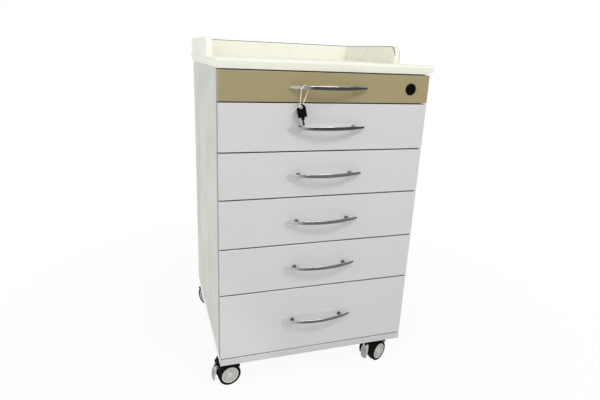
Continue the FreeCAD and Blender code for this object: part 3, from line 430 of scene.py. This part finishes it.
def soften(bm, radius, segments=2, degrees=30.0, ceiling=math.inf):
    """Rounds the edges that are sharper than an angle and stay below a height."""
    bevel(bm, [edge for edge in bm.edges
               if edge.is_manifold and edge.calc_face_angle() > math.radians(degrees)
               and max(vert.co.z for vert in edge.verts) < ceiling], radius, segments)


def block(bm, low, high):
    """Adds a box between two corners and returns its vertices."""
    low, high = Vector(low), Vector(high)
    matrix = Matrix.LocRotScale((low + high) / 2, None, high - low)
    return bmesh.ops.create_cube(bm, size=1.0, matrix=matrix)["verts"]


def line_of(bm, points):
    """Adds points joined by edges, and returns the vertices and the edges."""
    verts = [bm.verts.new(point) for point in points]
    return verts, [bm.edges.new(pair) for pair in zip(verts, verts[1:])]


def lathe(bm, profile, steps, matrix=Matrix()):
    """Turns a profile of (radius, along) points about Y into a closed shape."""
    before = set(bm.verts)
    verts, edges = line_of(bm, [(radius, along, 0.0) for radius, along in profile])
    bmesh.ops.spin(bm, geom=verts + edges, cent=(0, 0, 0), axis=(0, 1, 0), angle=math.tau,
                   steps=steps, use_merge=True)
    made = [vert for vert in bm.verts if vert not in before]
    bmesh.ops.remove_doubles(bm, verts=made, dist=0.001 * MM)
    made = [vert for vert in bm.verts if vert not in before]
    face_outwards(bm)
    bmesh.ops.transform(bm, matrix=matrix, verts=made)
    return bm


def sweep(bm, sides, stations):
    """Carries a section through the stations' matrices and closes both ends.  The section is a
    unit square for 4 sides and a circle of radius 0.5 for more."""
    radius = math.sqrt(0.5) if sides == 4 else 0.5
    upright = turned(math.pi / 2, "Y") @ turned(math.pi / sides, "Z")
    verts = bmesh.ops.create_circle(bm, cap_ends=False, segments=sides, radius=radius,
                                    matrix=stations[0] @ upright)["verts"]
    first = edges = edges_at(verts)
    for before, after in zip(stations, stations[1:]):
        grown = bmesh.ops.extrude_edge_only(bm, edges=edges)["geom"]
        verts = vertices(grown)
        edges = [item for item in grown if isinstance(item, bmesh.types.BMEdge)
                 and all(vert in verts for vert in item.verts)]
        bmesh.ops.transform(bm, matrix=after @ before.inverted(), verts=verts)
    bmesh.ops.holes_fill(bm, edges=first + edges, sides=sides)
    face_outwards(bm)


def thicken(bm, depth):
    """Gives a flat shape its thickness along Y."""
    grown = bmesh.ops.extrude_face_region(bm, geom=list(bm.faces))["geom"]
    bmesh.ops.translate(bm, vec=(0.0, depth, 0.0), verts=vertices(grown))
    face_outwards(bm)


def mark(bm, test):
    """Gives the faces that pass a test the piece's second finish."""
    for face in filter(test, bm.faces):
        face.material_index = 1
    return bm


def new_object(name, data):
    """Adds an object to the scene."""
    made = bpy.data.objects.new(name, data)
    bpy.context.scene.collection.objects.link(made)
    return made


def mesh_object(bm, name):
    """Ends a mesh in the making as an object."""
    mesh = bpy.data.meshes.new(name)
    bm.to_mesh(mesh)
    bm.free()
    return new_object(name, mesh)


def settle(bm, name, finish, body, nodes=(), second=None):
    """Makes a mesh an object, dresses it, and lets it ride on its body."""
    if not bm.faces:
        raise RuntimeError(f"{name} came out empty")
    piece = mesh_object(bm, name)
    piece.data.shade_smooth()
    piece.data.set_sharp_from_angle(angle=math.radians(40))
    for title in filter(None, (finish, second)):
        piece.data.materials.append(finish_named(title))
    piece.modifiers.new("Flat faces", "WEIGHTED_NORMAL").keep_sharp = True
    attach(piece, body)
    if nodes:
        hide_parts(*nodes)


def dress(node, finish):
    """Gives a node of the frame its finish."""
    target = frame["nodes"][node]
    if not target.material_slots:
        target.data.materials.append(None)
    for entry in target.material_slots:
        entry.material = finish_named(finish)


def softened(node, radius, segments=2, degrees=30.0, ceiling=math.inf):
    """A copy of a node with its facets joined and its sharp edges below a height rounded."""
    bm = bmesh.new()
    bm.from_mesh(frame["nodes"][node].data)
    bmesh.ops.remove_doubles(bm, verts=bm.verts, dist=0.005 * MM)
    bmesh.ops.dissolve_limit(bm, angle_limit=math.radians(0.5), verts=bm.verts, edges=bm.edges)
    soften(bm, radius, segments, degrees, ceiling)
    return bm


def arc_rise(aside, half, rise):
    """How far an arc that rises by that much over half its chord has fallen, aside of its top."""
    radius = (half ** 2 + rise ** 2) / (2 * rise)
    return radius - math.sqrt(radius ** 2 - aside ** 2)


# ---------------- carcass

class CABINET_OT_carcass(bpy.types.Operator):
    """Side panels, base board, back panel and top rails, with softened edges"""

    bl_idname = "cabinet.carcass"
    bl_label = "Carcass"
    boards = ("side_panel_left", "side_panel_right", "base_board", "back_panel", "top_rails")

    def execute(self, context):
        for node in self.boards:
            finish = "gloss_base" if node == "base_board" else "carcass_white"
            settle(softened(node, 0.6 * MM, degrees=50.0), f"{node}_banded", finish, "cabinet",
                   [node])
        return {"FINISHED"}


class CABINET_OT_worktop(bpy.types.Operator):
    """Worktop and the gallery boards that stand in its grooves"""

    bl_idname = "cabinet.worktop"
    bl_label = "Worktop and gallery"

    def execute(self, context):
        nose_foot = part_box("worktop")[1].z - 5 * MM
        settle(softened("worktop", 0.8 * MM, ceiling=nose_foot), "worktop_slab",
               "worktop_cream", "cabinet", ["worktop"])
        for node, outward in (("gallery_left", None), ("gallery_right", "x"),
                              ("gallery_back", "y")):
            board = softened(node, 1.6 * MM, 3)
            if outward:
                # the outer roundings take the second finish, painted shade
                mark(board, lambda face: self.is_shaded_rounding(face.normal, outward))
            settle(board, f"{node}_board", "worktop_cream", "cabinet", [node],
                   "dark_edge" if outward else None)
        return {"FINISHED"}

    def is_shaded_rounding(self, normal, outward):
        """True on the roundings along a board's top and towards its outer side, which take
        painted shade.
        """
        lean = getattr(normal, outward)
        return 0.1 < abs(lean) < 0.99 and (lean > 0 or normal.z > 0.1)


# ---------------- drawers

class CABINET_OT_fronts(bpy.types.Operator):
    """Drawer fronts in high-gloss lacquer, their edges painted grey as the shade in the gaps
    between them
    """

    bl_idname = "cabinet.fronts"
    bl_label = "Drawer fronts"

    def execute(self, context):
        for level in LEVELS:
            finish, slot = (("gloss_khaki", "front_beige") if level == "one" else
                            ("gloss_white", "front_white"))
            panel = softened(f"drawer_front_{level}", 0.5 * MM, degrees=50.0)
            # the edge faces take the second finish: grey painted shade for the gaps between the
            # fronts
            mark(panel, lambda face: abs(face.normal.y) < 0.5)
            settle(panel, f"front_panel_{level}", finish, f"drawer_{level}",
                   [f"drawer_front_{level}"], "edge_band")
        return {"FINISHED"}


def pan_head(radius, tall):
    """Profile of a screw's pan head with a round driver recess, seated on y = 0."""
    return [(0.0, tall * 0.45), (radius * 0.30, tall * 0.45), (radius * 0.36, tall),
            (radius * 0.62, tall * 0.93), (radius * 0.88, tall * 0.62), (radius, tall * 0.25),
            (radius, 0.0), (0.0, 0.0)]


class CABINET_OT_boxes(bpy.types.Operator):
    """Drawer boxes in melamine, and the screws of their handles"""

    bl_idname = "cabinet.boxes"
    bl_label = "Drawer boxes"
    screw_seat = FRONT_PLANE + 28 * MM          # the box's inner face, behind both fronts

    def execute(self, context):
        spacing = context.scene.cabinet_handle.post_spacing
        for level in LEVELS:
            dress(f"drawer_box_{level}", "melamine_white")
            low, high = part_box(f"handle_{level}")
            middle = (low + high) / 2
            bm = bmesh.new()
            for side in (-0.5, 0.5):
                spot = (middle.x + side * spacing, self.screw_seat, middle.z)
                lathe(bm, pan_head(3.8 * MM, 2.2 * MM), 20, moved(spot))
            settle(bm, f"handle_screws_{level}", "zinc", f"drawer_{level}")
        return {"FINISHED"}


class CABINET_OT_slides(bpy.types.Operator):
    """Zinc-plated telescopic slides, with the balls in their races"""

    bl_idname = "cabinet.slides"
    bl_label = "Slides"
    balls = 9
    ball_radius = 1.1 * MM
    race_inset = 5.2 * MM           # from a middle member's outer face
    race_rise = 0.9 * MM            # beyond its upper and lower faces

    def execute(self, context):
        dress("cabinet_rails", "zinc")
        for level in LEVELS:
            for node in (f"slide_middles_{level}", f"drawer_rails_{level}"):
                dress(node, "zinc")
            low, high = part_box(f"slide_middles_{level}")
            bm = bmesh.new()
            for side in (-1, 1):
                for number in range(self.balls):
                    along = low.y + (high.y - low.y) * (number + 0.5) / self.balls
                    for height in (low.z - self.race_rise, high.z + self.race_rise):
                        spot = (side * (high.x - self.race_inset), along, height)
                        bmesh.ops.create_icosphere(bm, subdivisions=2, radius=self.ball_radius,
                                                   matrix=moved(spot))
            settle(bm, f"slide_balls_{level}", "chrome", f"slide_{level}")
        return {"FINISHED"}


class CABINET_OT_handles(bpy.types.Operator):
    """Chrome-plated bow handles on two posts each, the posts darkened with painted shade"""

    bl_idname = "cabinet.handles"
    bl_label = "Handles"

    def execute(self, context):
        sizes = context.scene.cabinet_handle
        for level in LEVELS:
            low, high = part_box(f"handle_{level}")
            middle, half = (low + high) / 2, (high.x - low.x) / 2
            rise = high.y - sizes.end_standoff - low.y
            bm = bmesh.new()
            self.bow(bm, sizes, low.y, middle, half, rise)
            bow = set(bm.faces)
            self.posts(bm, sizes, high.y, middle, high.y - low.y - sizes.thick / 2
                       - arc_rise(sizes.post_spacing / 2, half, rise))
            # the posts take the second finish, darkened with painted shade
            mark(bm, lambda face: face not in bow)
            settle(bm, f"bow_handle_{level}", "chrome", f"drawer_{level}",
                   [f"handle_{level}"], "dull_post")
        return {"FINISHED"}

    def bow(self, bm, sizes, face, middle, half, rise):
        """An arc that thins towards its ends, seen from above and from the front."""
        radius = (half ** 2 + rise ** 2) / (2 * rise)
        inner_rise = rise - sizes.thick + sizes.end_thick
        stations = []
        for step in range(sizes.stations + 1):
            x = half * (2 * step / sizes.stations - 1)
            outer = face + arc_rise(x, half, rise)
            inner = face + sizes.thick + arc_rise(x, half, inner_rise)
            tall = sizes.tall - 2 * arc_rise(x, half, (sizes.tall - sizes.end_tall) / 2)
            stations.append(moved((middle.x + x, (outer + inner) / 2, middle.z))
                            @ turned(math.asin(x / radius), "Z")
                            @ Matrix.Diagonal((1.0, inner - outer, tall, 1.0)))
        sweep(bm, 4, stations)
        soften(bm, sizes.edge, 3)

    def posts(self, bm, sizes, seat, middle, reach):
        """Two posts with a small foot, from the drawer front into the bow."""
        radius = sizes.post_radius
        profile = [(0.0, 0.0), (radius * 1.25, 0.0), (radius * 1.25, -0.7 * MM),
                   (radius, -1.4 * MM), (radius, -reach), (0.0, -reach)]
        for side in (-0.5, 0.5):
            spot = (middle.x + side * sizes.post_spacing, seat, middle.z)
            lathe(bm, profile, 32, moved(spot))


# ---------------- lock, key and tie

class CABINET_OT_lock(bpy.types.Operator):
    """Cam lock: flanged housing, plug and cam"""

    bl_idname = "cabinet.lock"
    bl_label = "Lock"
    barrel = 9 * MM
    play = 0.06 * MM

    def execute(self, context):
        low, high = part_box("lock_housing")
        plug_low, plug_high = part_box("lock_plug")
        centre = (plug_low + plug_high) / 2
        flange = (high.x - low.x) / 2
        bore = (plug_high.x - plug_low.x) / 2 + self.play
        seat = FRONT_PLANE - low.y
        depth = high.y - low.y
        profile = [(bore, 0.4 * MM), (bore + 1.2 * MM, 0.35 * MM), (bore + 2.0 * MM, 0.0),
                   (flange - 2.4 * MM, 0.0), (flange - 0.9 * MM, 0.5 * MM),
                   (flange, 1.5 * MM), (flange, seat), (self.barrel, seat),
                   (self.barrel, depth), (bore, depth), (bore, 0.4 * MM)]
        bezel = lathe(bmesh.new(), profile, 64, moved((centre.x, low.y, centre.z)))
        settle(bezel, "lock_bezel", "black_plastic", "drawer_one",
               ["lock_housing"])
        dress("lock_plug", "black_plastic")
        dress("lock_cam", "zinc")
        return {"FINISHED"}


HANG = Vector(JOINTS["key_swing"]["pos_m"])         # where the tie hangs on the top bow


class CABINET_OT_key(bpy.types.Operator):
    """Key with a moulded head, hanging by the hole in its head"""

    bl_idname = "cabinet.key"
    bl_label = "Key"
    # heights above the tip and depths, as shares of the blade's length and half width
    notches = ((0.0, 0.9), (0.14, 0.5), (0.32, 0.2), (0.50, 0.65), (0.68, 0.3), (0.86, 0.6),
               (1.0, 0.0))

    def execute(self, context):
        sizes = context.scene.cabinet_key
        place = (moved((sizes.side, HANG.y, HANG.z - sizes.drop))
                 @ turned(sizes.turn, "Z") @ turned(-sizes.tilt, "Y"))
        foot = sizes.hole_inset - sizes.head_tall
        head, blade = self.head(sizes, foot), self.blade(sizes, foot)
        head.transform(place)
        blade.transform(place)
        settle(head, "key_head", "black_plastic", "key_set", ["key"])
        settle(blade, "key_blade", "dark_steel", "key_set")
        return {"FINISHED"}

    def head(self, sizes, foot):
        """A domed tag with a round hole, and the collar that grips the blade."""
        bm = bmesh.new()
        shoulder = sizes.head_wide / 2
        crown = sizes.hole_inset - shoulder
        near = -sizes.head_thick / 2
        rims = []
        for radius, height in ((shoulder, crown), (sizes.hole, 0.0)):
            matrix = moved((0.0, near, height)) @ turned(math.pi / 2, "X")
            rims.append(bmesh.ops.create_circle(bm, cap_ends=False, segments=40, radius=radius,
                                                matrix=matrix)["verts"])
        for vert in rims[0]:
            if vert.co.z < crown - 0.1 * MM:
                share = (crown - vert.co.z) / shoulder
                vert.co.z = crown - (crown - foot) * min(1.0, share * 2.2)
                vert.co.x = math.copysign(min(shoulder, abs(vert.co.x) * (1 + share)), vert.co.x)
        bmesh.ops.bridge_loops(bm, edges=edges_at(rims[0] + rims[1]))
        thicken(bm, sizes.head_thick)
        half = sizes.blade_wide / 2 + 1 * MM
        block(bm, (-half, near, foot - sizes.collar), (half, -near, foot + 0.4 * MM))
        soften(bm, 0.8 * MM, 3, 50.0)
        return bm

    def blade(self, sizes, foot):
        """A flat blade with a blunt tip and notches down one edge."""
        top = foot - sizes.collar
        tip = foot - sizes.blade_long
        half, near = sizes.blade_wide / 2, -sizes.blade_thick / 2
        bm = bmesh.new()
        edges = line_of(bm, [(-half * (0.3 if share == 0.0 else 1.0), near,
                              tip + (top - tip) * share) for share, _ in self.notches])[1]
        grown = bmesh.ops.extrude_edge_only(bm, edges=edges)["geom"]
        far = sorted(vertices(grown), key=lambda vert: vert.co.z)
        for vert, (_, depth) in zip(far, self.notches):
            vert.co.x = half - half * depth
        thicken(bm, sizes.blade_thick)
        soften(bm, 0.15 * MM, 1, 50.0)
        return bm


class CABINET_OT_tie(bpy.types.Operator):
    """Nylon tie: the loop over the bow and through the key, its lock head and its tail"""

    bl_idname = "cabinet.tie"
    bl_label = "Key tie"
    sides = 12                  # of the strap's section
    arc_steps = 24              # along each of the loop's arcs
    play = 0.4 * MM             # between the loop and the bow
    head_foot = -6.6 * MM       # of the lock head, from the middle of the loop's lower arc
    head_long = 4.6 * MM
    tail_steps = 6
    tail_droop = 5 * MM

    def execute(self, context):
        sizes = context.scene.cabinet_tie
        key = context.scene.cabinet_key
        lean = math.atan2(HANG.x - key.side, key.drop)
        foot = sizes.foot_radius + sizes.foot_rise - key.drop / math.cos(lean)
        top = context.scene.cabinet_handle.tall / 2 + self.play - sizes.top_radius
        bm = bmesh.new()
        self.loop(bm, sizes, top, foot)
        self.lock_head(bm, sizes, foot)
        bm.transform(moved(HANG) @ turned(lean, "Y") @ turned(sizes.turn, "Z"))
        settle(bm, "tie_strap", "nylon", "key_set", ["key_tie"])
        return {"FINISHED"}

    def loop(self, bm, sizes, top, foot):
        """The strap follows two arcs, large above small, joined by straight sides."""
        middle = sizes.thick / 2
        big, small = sizes.top_radius + middle, sizes.foot_radius + middle
        slope = math.asin((big - small) / (top - foot))
        scale = Matrix.Diagonal((1.0, sizes.wide, sizes.thick, 1.0))
        stations = []
        for centre, radius, start, end in ((top, big, -slope, math.pi + slope),
                                           (foot, small, math.pi + slope, math.tau - slope)):
            for step in range(self.arc_steps + 1):
                turn = start + (end - start) * step / self.arc_steps
                spot = (radius * math.cos(turn), 0.0, centre + radius * math.sin(turn))
                stations.append(moved(spot) @ turned(math.pi / 2 - turn, "Y") @ scale)
        stations.append(stations[0])
        sweep(bm, self.sides, stations)

    def lock_head(self, bm, sizes, foot):
        """The block that grips the strap beside the key, and the strap's cut tail."""
        half = Vector((sizes.head, sizes.head, self.head_long)) / 2
        middle = Vector((-sizes.foot_radius - sizes.thick - 1 * MM, 0.0,
                         foot + self.head_foot + half.z))
        bevel(bm, edges_at(block(bm, middle - half, middle + half)), 0.6 * MM)
        start = moved(middle) @ turned(math.pi - sizes.drop, "Y")
        stations = []
        for step in range(self.tail_steps + 1):
            share = step / self.tail_steps
            narrow = 1.0 if step < 5 else 1.0 - 0.25 * (step - 4)
            fall = (sizes.tail * share, 0.0, self.tail_droop * share ** 1.5)
            stations.append(start @ moved(fall) @ Matrix.Diagonal(
                (1.0, sizes.wide * narrow, sizes.thick * 0.9, 1.0)))
        sweep(bm, self.sides, stations)


# ---------------- casters

def caster_place(corner):
    """Frame of a caster: X towards its wheels, Y along their axle, origin on the floor."""
    spot = JOINTS[f"swivel_{corner}"]["pos_m"]
    axle = Vector(JOINTS[f"roll_{corner}_1"]["axis"])
    ahead = axle.cross(Vector((0, 0, 1)))
    turn = Matrix((ahead, axle, (0, 0, 1))).transposed().to_4x4()
    return moved((spot[0], spot[1], 0.0)) @ turn


class CABINET_OT_casters(bpy.types.Operator):
    """Caster plates with their screws, the moulded hoods over the wheels and brake pedals"""

    bl_idname = "cabinet.casters"
    bl_label = "Casters"
    plate_thick = 2.5 * MM
    screw_pitch = 32 * MM
    hollow = (12 * MM, 44.4 * MM)       # foot and top of the pedal's hollow
    hollow_half = 3 * MM
    hollow_least = 7 * MM ** 2          # smaller faces belong to its rounded rim
    grips = (20 * MM, 27 * MM, 34 * MM)
    grip_half = Vector((1.35, 6, 1)) * MM
    grip_reach = 56.55 * MM             # a rib's middle, ahead of the swivel

    def execute(self, context):
        settle(softened("caster_plates", 0.4 * MM, degrees=50.0), "swivel_plates", "zinc",
               "cabinet", ["caster_plates"])
        plate_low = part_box("caster_plates")[1].z - self.plate_thick
        bm = bmesh.new()
        for corner in CORNERS:
            spot = JOINTS[f"swivel_{corner}"]["pos_m"]
            for along, across in ((-0.5, -0.5), (-0.5, 0.5), (0.5, -0.5), (0.5, 0.5)):
                place = moved((spot[0] + along * self.screw_pitch,
                               spot[1] + across * self.screw_pitch, plate_low))
                lathe(bm, pan_head(3.6 * MM, 2 * MM), 16, place @ turned(-math.pi / 2, "X"))
            hood = f"caster_hood_{corner}"
            settle(softened(hood, 0.7 * MM), f"hood_{corner}", "black_plastic",
                   f"caster_{corner}", [hood])
        settle(bm, "plate_screws", "zinc", "cabinet")
        for corner in BRAKED:
            settle(self.pedal(corner), f"pedal_{corner}_moulding", "pedal_grey",
                   f"pedal_{corner}", [f"brake_pedal_{corner}"], "pedal_worn")
        return {"FINISHED"}

    def pedal(self, corner):
        """The pedal, with three grip ribs across its hollow; hollow and ribs are painted darker,
        as trodden dirt and as shade.
        """
        place = caster_place(corner)
        bm = softened(f"brake_pedal_{corner}", 0.4 * MM)
        # the hollow takes the second finish: painted shade and trodden dirt
        mark(bm, lambda face: self.in_hollow(face, place))
        for height in self.grips:
            middle = Vector((self.grip_reach, 0.0, height))
            verts = block(bm, middle - self.grip_half, middle + self.grip_half)
            bmesh.ops.transform(bm, matrix=place, verts=verts)
            # the ribs take the same darker finish: painted shade and trodden dirt
            for face in {face for vert in verts for face in vert.link_faces}:
                face.material_index = 1
        return bm

    def in_hollow(self, face, place):
        middle = place.inverted() @ face.calc_center_median()
        return (face.normal.dot(place.col[0].to_3d()) > 0.9
                and abs(middle.y) < self.hollow_half
                and self.hollow[0] < middle.z < self.hollow[1]
                and face.calc_area() > self.hollow_least)


class CABINET_OT_wheels(bpy.types.Operator):
    """Twin wheels: ribbed light grey cores with grooved black treads"""

    bl_idname = "cabinet.wheels"
    bl_label = "Wheels"

    def execute(self, context):
        sizes = context.scene.cabinet_wheel
        for corner in CORNERS:
            turn = caster_place(corner).to_3x3().to_4x4()
            for number in (1, 2):
                hub = JOINTS[f"roll_{corner}_{number}"]["pos_m"]
                place = moved(hub) @ turn @ turned(math.pi * (number - 1), "Z")
                body = f"wheel_{corner}_{number}"
                core, tread = self.core(sizes), self.tread(sizes)
                core.transform(place)
                tread.transform(place)
                settle(core, f"core_{corner}_{number}", "wheel_grey", body,
                       [body], "wheel_pocket")
                settle(tread, f"tread_{corner}_{number}", "tread_black", body)
        return {"FINISHED"}

    def core(self, sizes):
        """Rim ring, recessed face with ribs, and a domed cap over the axle."""
        core, inner, outer = sizes.core, sizes.inner, sizes.outer
        floor = outer - 2.8 * MM
        profile = [(0.0, outer - 6 * MM), (4.1 * MM, outer - 6 * MM), (4.1 * MM, inner),
                   (9 * MM, inner), (10 * MM, inner + 1.2 * MM),
                   (core - 3 * MM, inner + 1.2 * MM), (core - 2.2 * MM, inner),
                   (core + 0.3 * MM, inner), (core + 0.3 * MM, outer - 0.4 * MM),
                   (core - 0.3 * MM, outer), (core - 2.5 * MM, outer),
                   (core - 3.0 * MM, outer - 0.5 * MM), (core - 3.2 * MM, floor),
                   (14.2 * MM, floor), (14.0 * MM, outer - 0.9 * MM),
                   (13.6 * MM, outer - 0.5 * MM), (12.4 * MM, outer - 0.5 * MM),
                   (12.0 * MM, outer - 0.9 * MM), (11.8 * MM, floor), (7.4 * MM, floor),
                   (7.0 * MM, outer - 0.9 * MM), (5.2 * MM, outer - 0.3 * MM),
                   (2.8 * MM, outer), (0.0, outer)]
        bm = lathe(bmesh.new(), profile, sizes.steps)
        for low, high, ribs in ((13.0 * MM, core - 2.8 * MM, sizes.ribs),
                                (6.8 * MM, 12.2 * MM, sizes.ribs // 2)):
            for number in range(ribs):
                verts = block(bm, (low, floor - 0.2 * MM, -0.6 * MM),
                              (high, outer - 1.0 * MM, 0.6 * MM))
                bmesh.ops.rotate(bm, cent=(0, 0, 0), verts=verts,
                                 matrix=Matrix.Rotation(math.tau * number / ribs, 3, "Y"))
        # the floors between the ribs take the second finish: painted shade in the recess, with
        # dust
        return mark(bm, lambda face: floor - 0.3 * MM < face.calc_center_median().y
                    < outer - 1.9 * MM)

    def tread(self, sizes):
        """A band with round shoulders and three shallow grooves."""
        core, radius, inner, outer = sizes.core, sizes.radius, sizes.inner, sizes.outer
        bend = 1.8 * MM
        turns = [math.radians(30 * step) for step in range(4)]
        arc = [(bend * math.sin(turn), bend * math.cos(turn)) for turn in turns]
        profile = [(core, inner + 0.2 * MM), (core + 0.6 * MM, inner)]
        profile += [(radius - bend + out, inner + bend - along) for out, along in arc]
        for share in (0.28, 0.5, 0.72):
            middle = inner + (outer - inner) * share
            profile += [(radius, middle - 0.75 * MM), (radius - 0.7 * MM, middle - 0.4 * MM),
                        (radius - 0.7 * MM, middle + 0.4 * MM), (radius, middle + 0.75 * MM)]
        profile += [(radius - bend + out, outer - bend + along) for along, out in arc]
        profile += [(core + 0.6 * MM, outer), (core, outer - 0.2 * MM), profile[0]]
        return lathe(bmesh.new(), profile, sizes.steps)


# ---------------- stage

class CABINET_OT_stage(bpy.types.Operator):
    """Pale floor, soft studio light and the camera"""

    bl_idname = "cabinet.stage"
    bl_label = "Stage"
    aim = Vector((0.0, 0.0, 0.45))          # where the softboxes point

    def execute(self, context):
        scene, settings = context.scene, context.scene.cabinet_stage
        self.floor(settings)
        self.dim_room(settings)
        scene.world = self.studio(settings)
        self.softbox("overhead", (0.4, -1.5, 2.3), (1.2, 0.5), settings.overhead)
        self.softbox("left", (-2.2, -1.0, 1.3), (1.4, 1.6), settings.left)
        self.softbox("right", (1.1, -2.3, 1.6), (1.6, 1.6), settings.right)
        scene.camera = self.camera(settings)
        scene.view_settings.view_transform = "Standard"
        return {"FINISHED"}

    def backdrop(self, bm, name, title):
        """Makes a mesh an object with a new material, and returns it with its material's nodes.
        """
        piece = mesh_object(bm, name)
        material = bpy.data.materials.new(title)
        material.use_nodes = True
        piece.data.materials.append(material)
        return piece, material.node_tree

    def seen_directly(self, tree):
        """1 for what the camera, a mirror or glass shows, and 0 for what only lights."""
        path = add_node(tree, "LightPath").outputs
        total = path["Is Camera Ray"]
        for ray in ("Is Glossy Ray", "Is Transmission Ray"):
            total = add_node(tree, "Math", total, path[ray], operation="ADD",
                             use_clamp=True).outputs["Value"]
        return total

    def floor(self, settings):
        """A wide disc that shows white and keeps a faint shadow round the casters."""
        bm = bmesh.new()
        bmesh.ops.create_circle(bm, cap_ends=True, segments=96, radius=12.0)
        _, tree = self.backdrop(bm, "floor", "floor_white")
        matt = tree.nodes["Principled BSDF"]
        feed(tree, matt, Base_Color=shade(settings.floor, 1.0), Roughness=0.9,
             Specular_IOR_Level=0.1)
        glow = add_node(tree, "Emission", Strength=1.0)
        spot = add_node(tree, "TexCoord").outputs["Object"]
        distance = add_node(tree, "VectorMath", spot, operation="LENGTH").outputs["Value"]
        fade = add_node(tree, "MapRange", distance, 0.25, 1.3, 0.93, 1.0,
                        interpolation_type="SMOOTHSTEP").outputs["Result"]
        share = add_node(tree, "Math", fade, self.seen_directly(tree), operation="MULTIPLY")
        mix = add_node(tree, "MixShader", share.outputs["Value"], matt.outputs["BSDF"],
                       glow.outputs["Emission"])
        feed(tree, tree.nodes["Material Output"], Surface=mix.outputs["Shader"])

    def dim_room(self, settings):
        """The dim side of the room, before and right of the cabinet, which only gloss and chrome
        show: its floor, its round wall and its ceiling, paler near the floor and to the left."""
        bm = bmesh.new()
        verts, edges = line_of(bm, [(0.0, -out, height) for out, height in
                                    ((0.3, 0.002), (3.4, 0.002), (3.4, 1.9), (2.6, 3.0),
                                     (0.0, 3.4))])
        bmesh.ops.rotate(bm, cent=(0, 0, 0), verts=verts,
                         matrix=Matrix.Rotation(math.radians(-60), 3, "Z"))
        bmesh.ops.spin(bm, geom=verts + edges, cent=(0, 0, 0), axis=(0, 0, 1),
                       angle=math.radians(202), steps=40)
        room, tree = self.backdrop(bm, "dim_room", "dim_cloth")
        for ray in ("camera", "diffuse", "transmission", "volume_scatter", "shadow"):
            setattr(room, f"visible_{ray}", False)
        tree.nodes.remove(tree.nodes["Principled BSDF"])
        spot = add_node(tree, "TexCoord").outputs["Object"]
        height = add_node(tree, "SeparateXYZ", spot).outputs["Z"]
        around = add_node(tree, "TexGradient", spot, gradient_type="RADIAL").outputs["Fac"]
        tones = []
        for source, start, end, factor in ((height, 0.0, 0.12, 2.5), (around, 0.2, 0.245, 8.5)):
            ramp = add_node(tree, "ValToRGB", source)
            bright, dim = ramp.color_ramp.elements
            bright.position, dim.position = start, end
            bright.color, dim.color = shade(settings.room, factor), shade(settings.room, 1.0)
            tones.append(ramp.outputs["Color"])
        glow = add_node(tree, "Emission", mix_colours(tree, 1.0, *tones, "LIGHTEN"))
        feed(tree, tree.nodes["Material Output"], Surface=glow.outputs["Emission"])

    def studio(self, settings):
        """Even, slightly cool light all round, and white where the world is seen."""
        world = bpy.data.worlds.new("studio")
        world.use_nodes = True
        tree = world.node_tree
        ambient = tree.nodes["Background"]
        feed(tree, ambient, Color=(0.97, 0.99, 1.0, 1.0), Strength=settings.ambient)
        white = add_node(tree, "Background", (1.0, 1.0, 1.0, 1.0), 1.0)
        mix = add_node(tree, "MixShader", self.seen_directly(tree),
                       ambient.outputs["Background"], white.outputs["Background"])
        feed(tree, tree.nodes["World Output"], Surface=mix.outputs["Shader"])
        return world

    def softbox(self, name, place, size, energy):
        data = bpy.data.lights.new(name, "AREA")
        data.shape = "RECTANGLE"
        data.size, data.size_y = size
        data.energy = energy
        lamp = new_object(name, data)
        lamp.location = place
        lamp.rotation_euler = (self.aim - lamp.location).to_track_quat("-Z", "Y").to_euler()

    def camera(self, settings):
        data = bpy.data.cameras.new("camera")
        data.lens = settings.lens
        data.sensor_width = 36.0
        data.clip_start, data.clip_end = 0.05, 50.0
        camera = new_object("camera", data)
        across, upward = Vector(settings.across), Vector(settings.upward)
        turn = Matrix((across, upward, across.cross(upward))).transposed()
        camera.matrix_world = moved(settings.eye) @ turn.to_4x4()
        return camera


# ---------------- add-on

OPERATORS = (CABINET_OT_carcass, CABINET_OT_worktop, CABINET_OT_fronts, CABINET_OT_boxes,
             CABINET_OT_slides, CABINET_OT_handles, CABINET_OT_lock, CABINET_OT_key,
             CABINET_OT_tie, CABINET_OT_casters, CABINET_OT_wheels, CABINET_OT_stage)

SETTINGS = {
    "cabinet_colours": CabinetColours,
    "cabinet_handle": HandleSizes,
    "cabinet_wheel": WheelSizes,
    "cabinet_key": KeySizes,
    "cabinet_tie": TieSizes,
    "cabinet_stage": StageSettings,
}


class CABINET_PT_panel(bpy.types.Panel):
    """Lists the cabinet's pieces and settings in the sidebar"""

    bl_idname = "CABINET_PT_panel"
    bl_label = "Dental cabinet"
    bl_space_type = "VIEW_3D"
    bl_region_type = "UI"
    bl_category = "Cabinet"

    def draw(self, context):
        for operator in OPERATORS:
            self.layout.operator(operator.bl_idname)
        for name, group in SETTINGS.items():
            box = self.layout.box()
            for prop in group.__annotations__:
                box.prop(getattr(context.scene, name), prop)


def register():
    for item in (*SETTINGS.values(), *OPERATORS, CABINET_PT_panel):
        bpy.utils.register_class(item)
    for name, group in SETTINGS.items():
        setattr(bpy.types.Scene, name, PointerProperty(type=group))


def unregister():
    for name in SETTINGS:
        delattr(bpy.types.Scene, name)
    for item in (CABINET_PT_panel, *reversed(OPERATORS), *reversed(SETTINGS.values())):
        bpy.utils.unregister_class(item)


def main():
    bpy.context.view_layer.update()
    register()
    for operator in OPERATORS:
        group, action = operator.bl_idname.split(".")
        getattr(getattr(bpy.ops, group), action)()


if __name__ == "__main__":
    main()
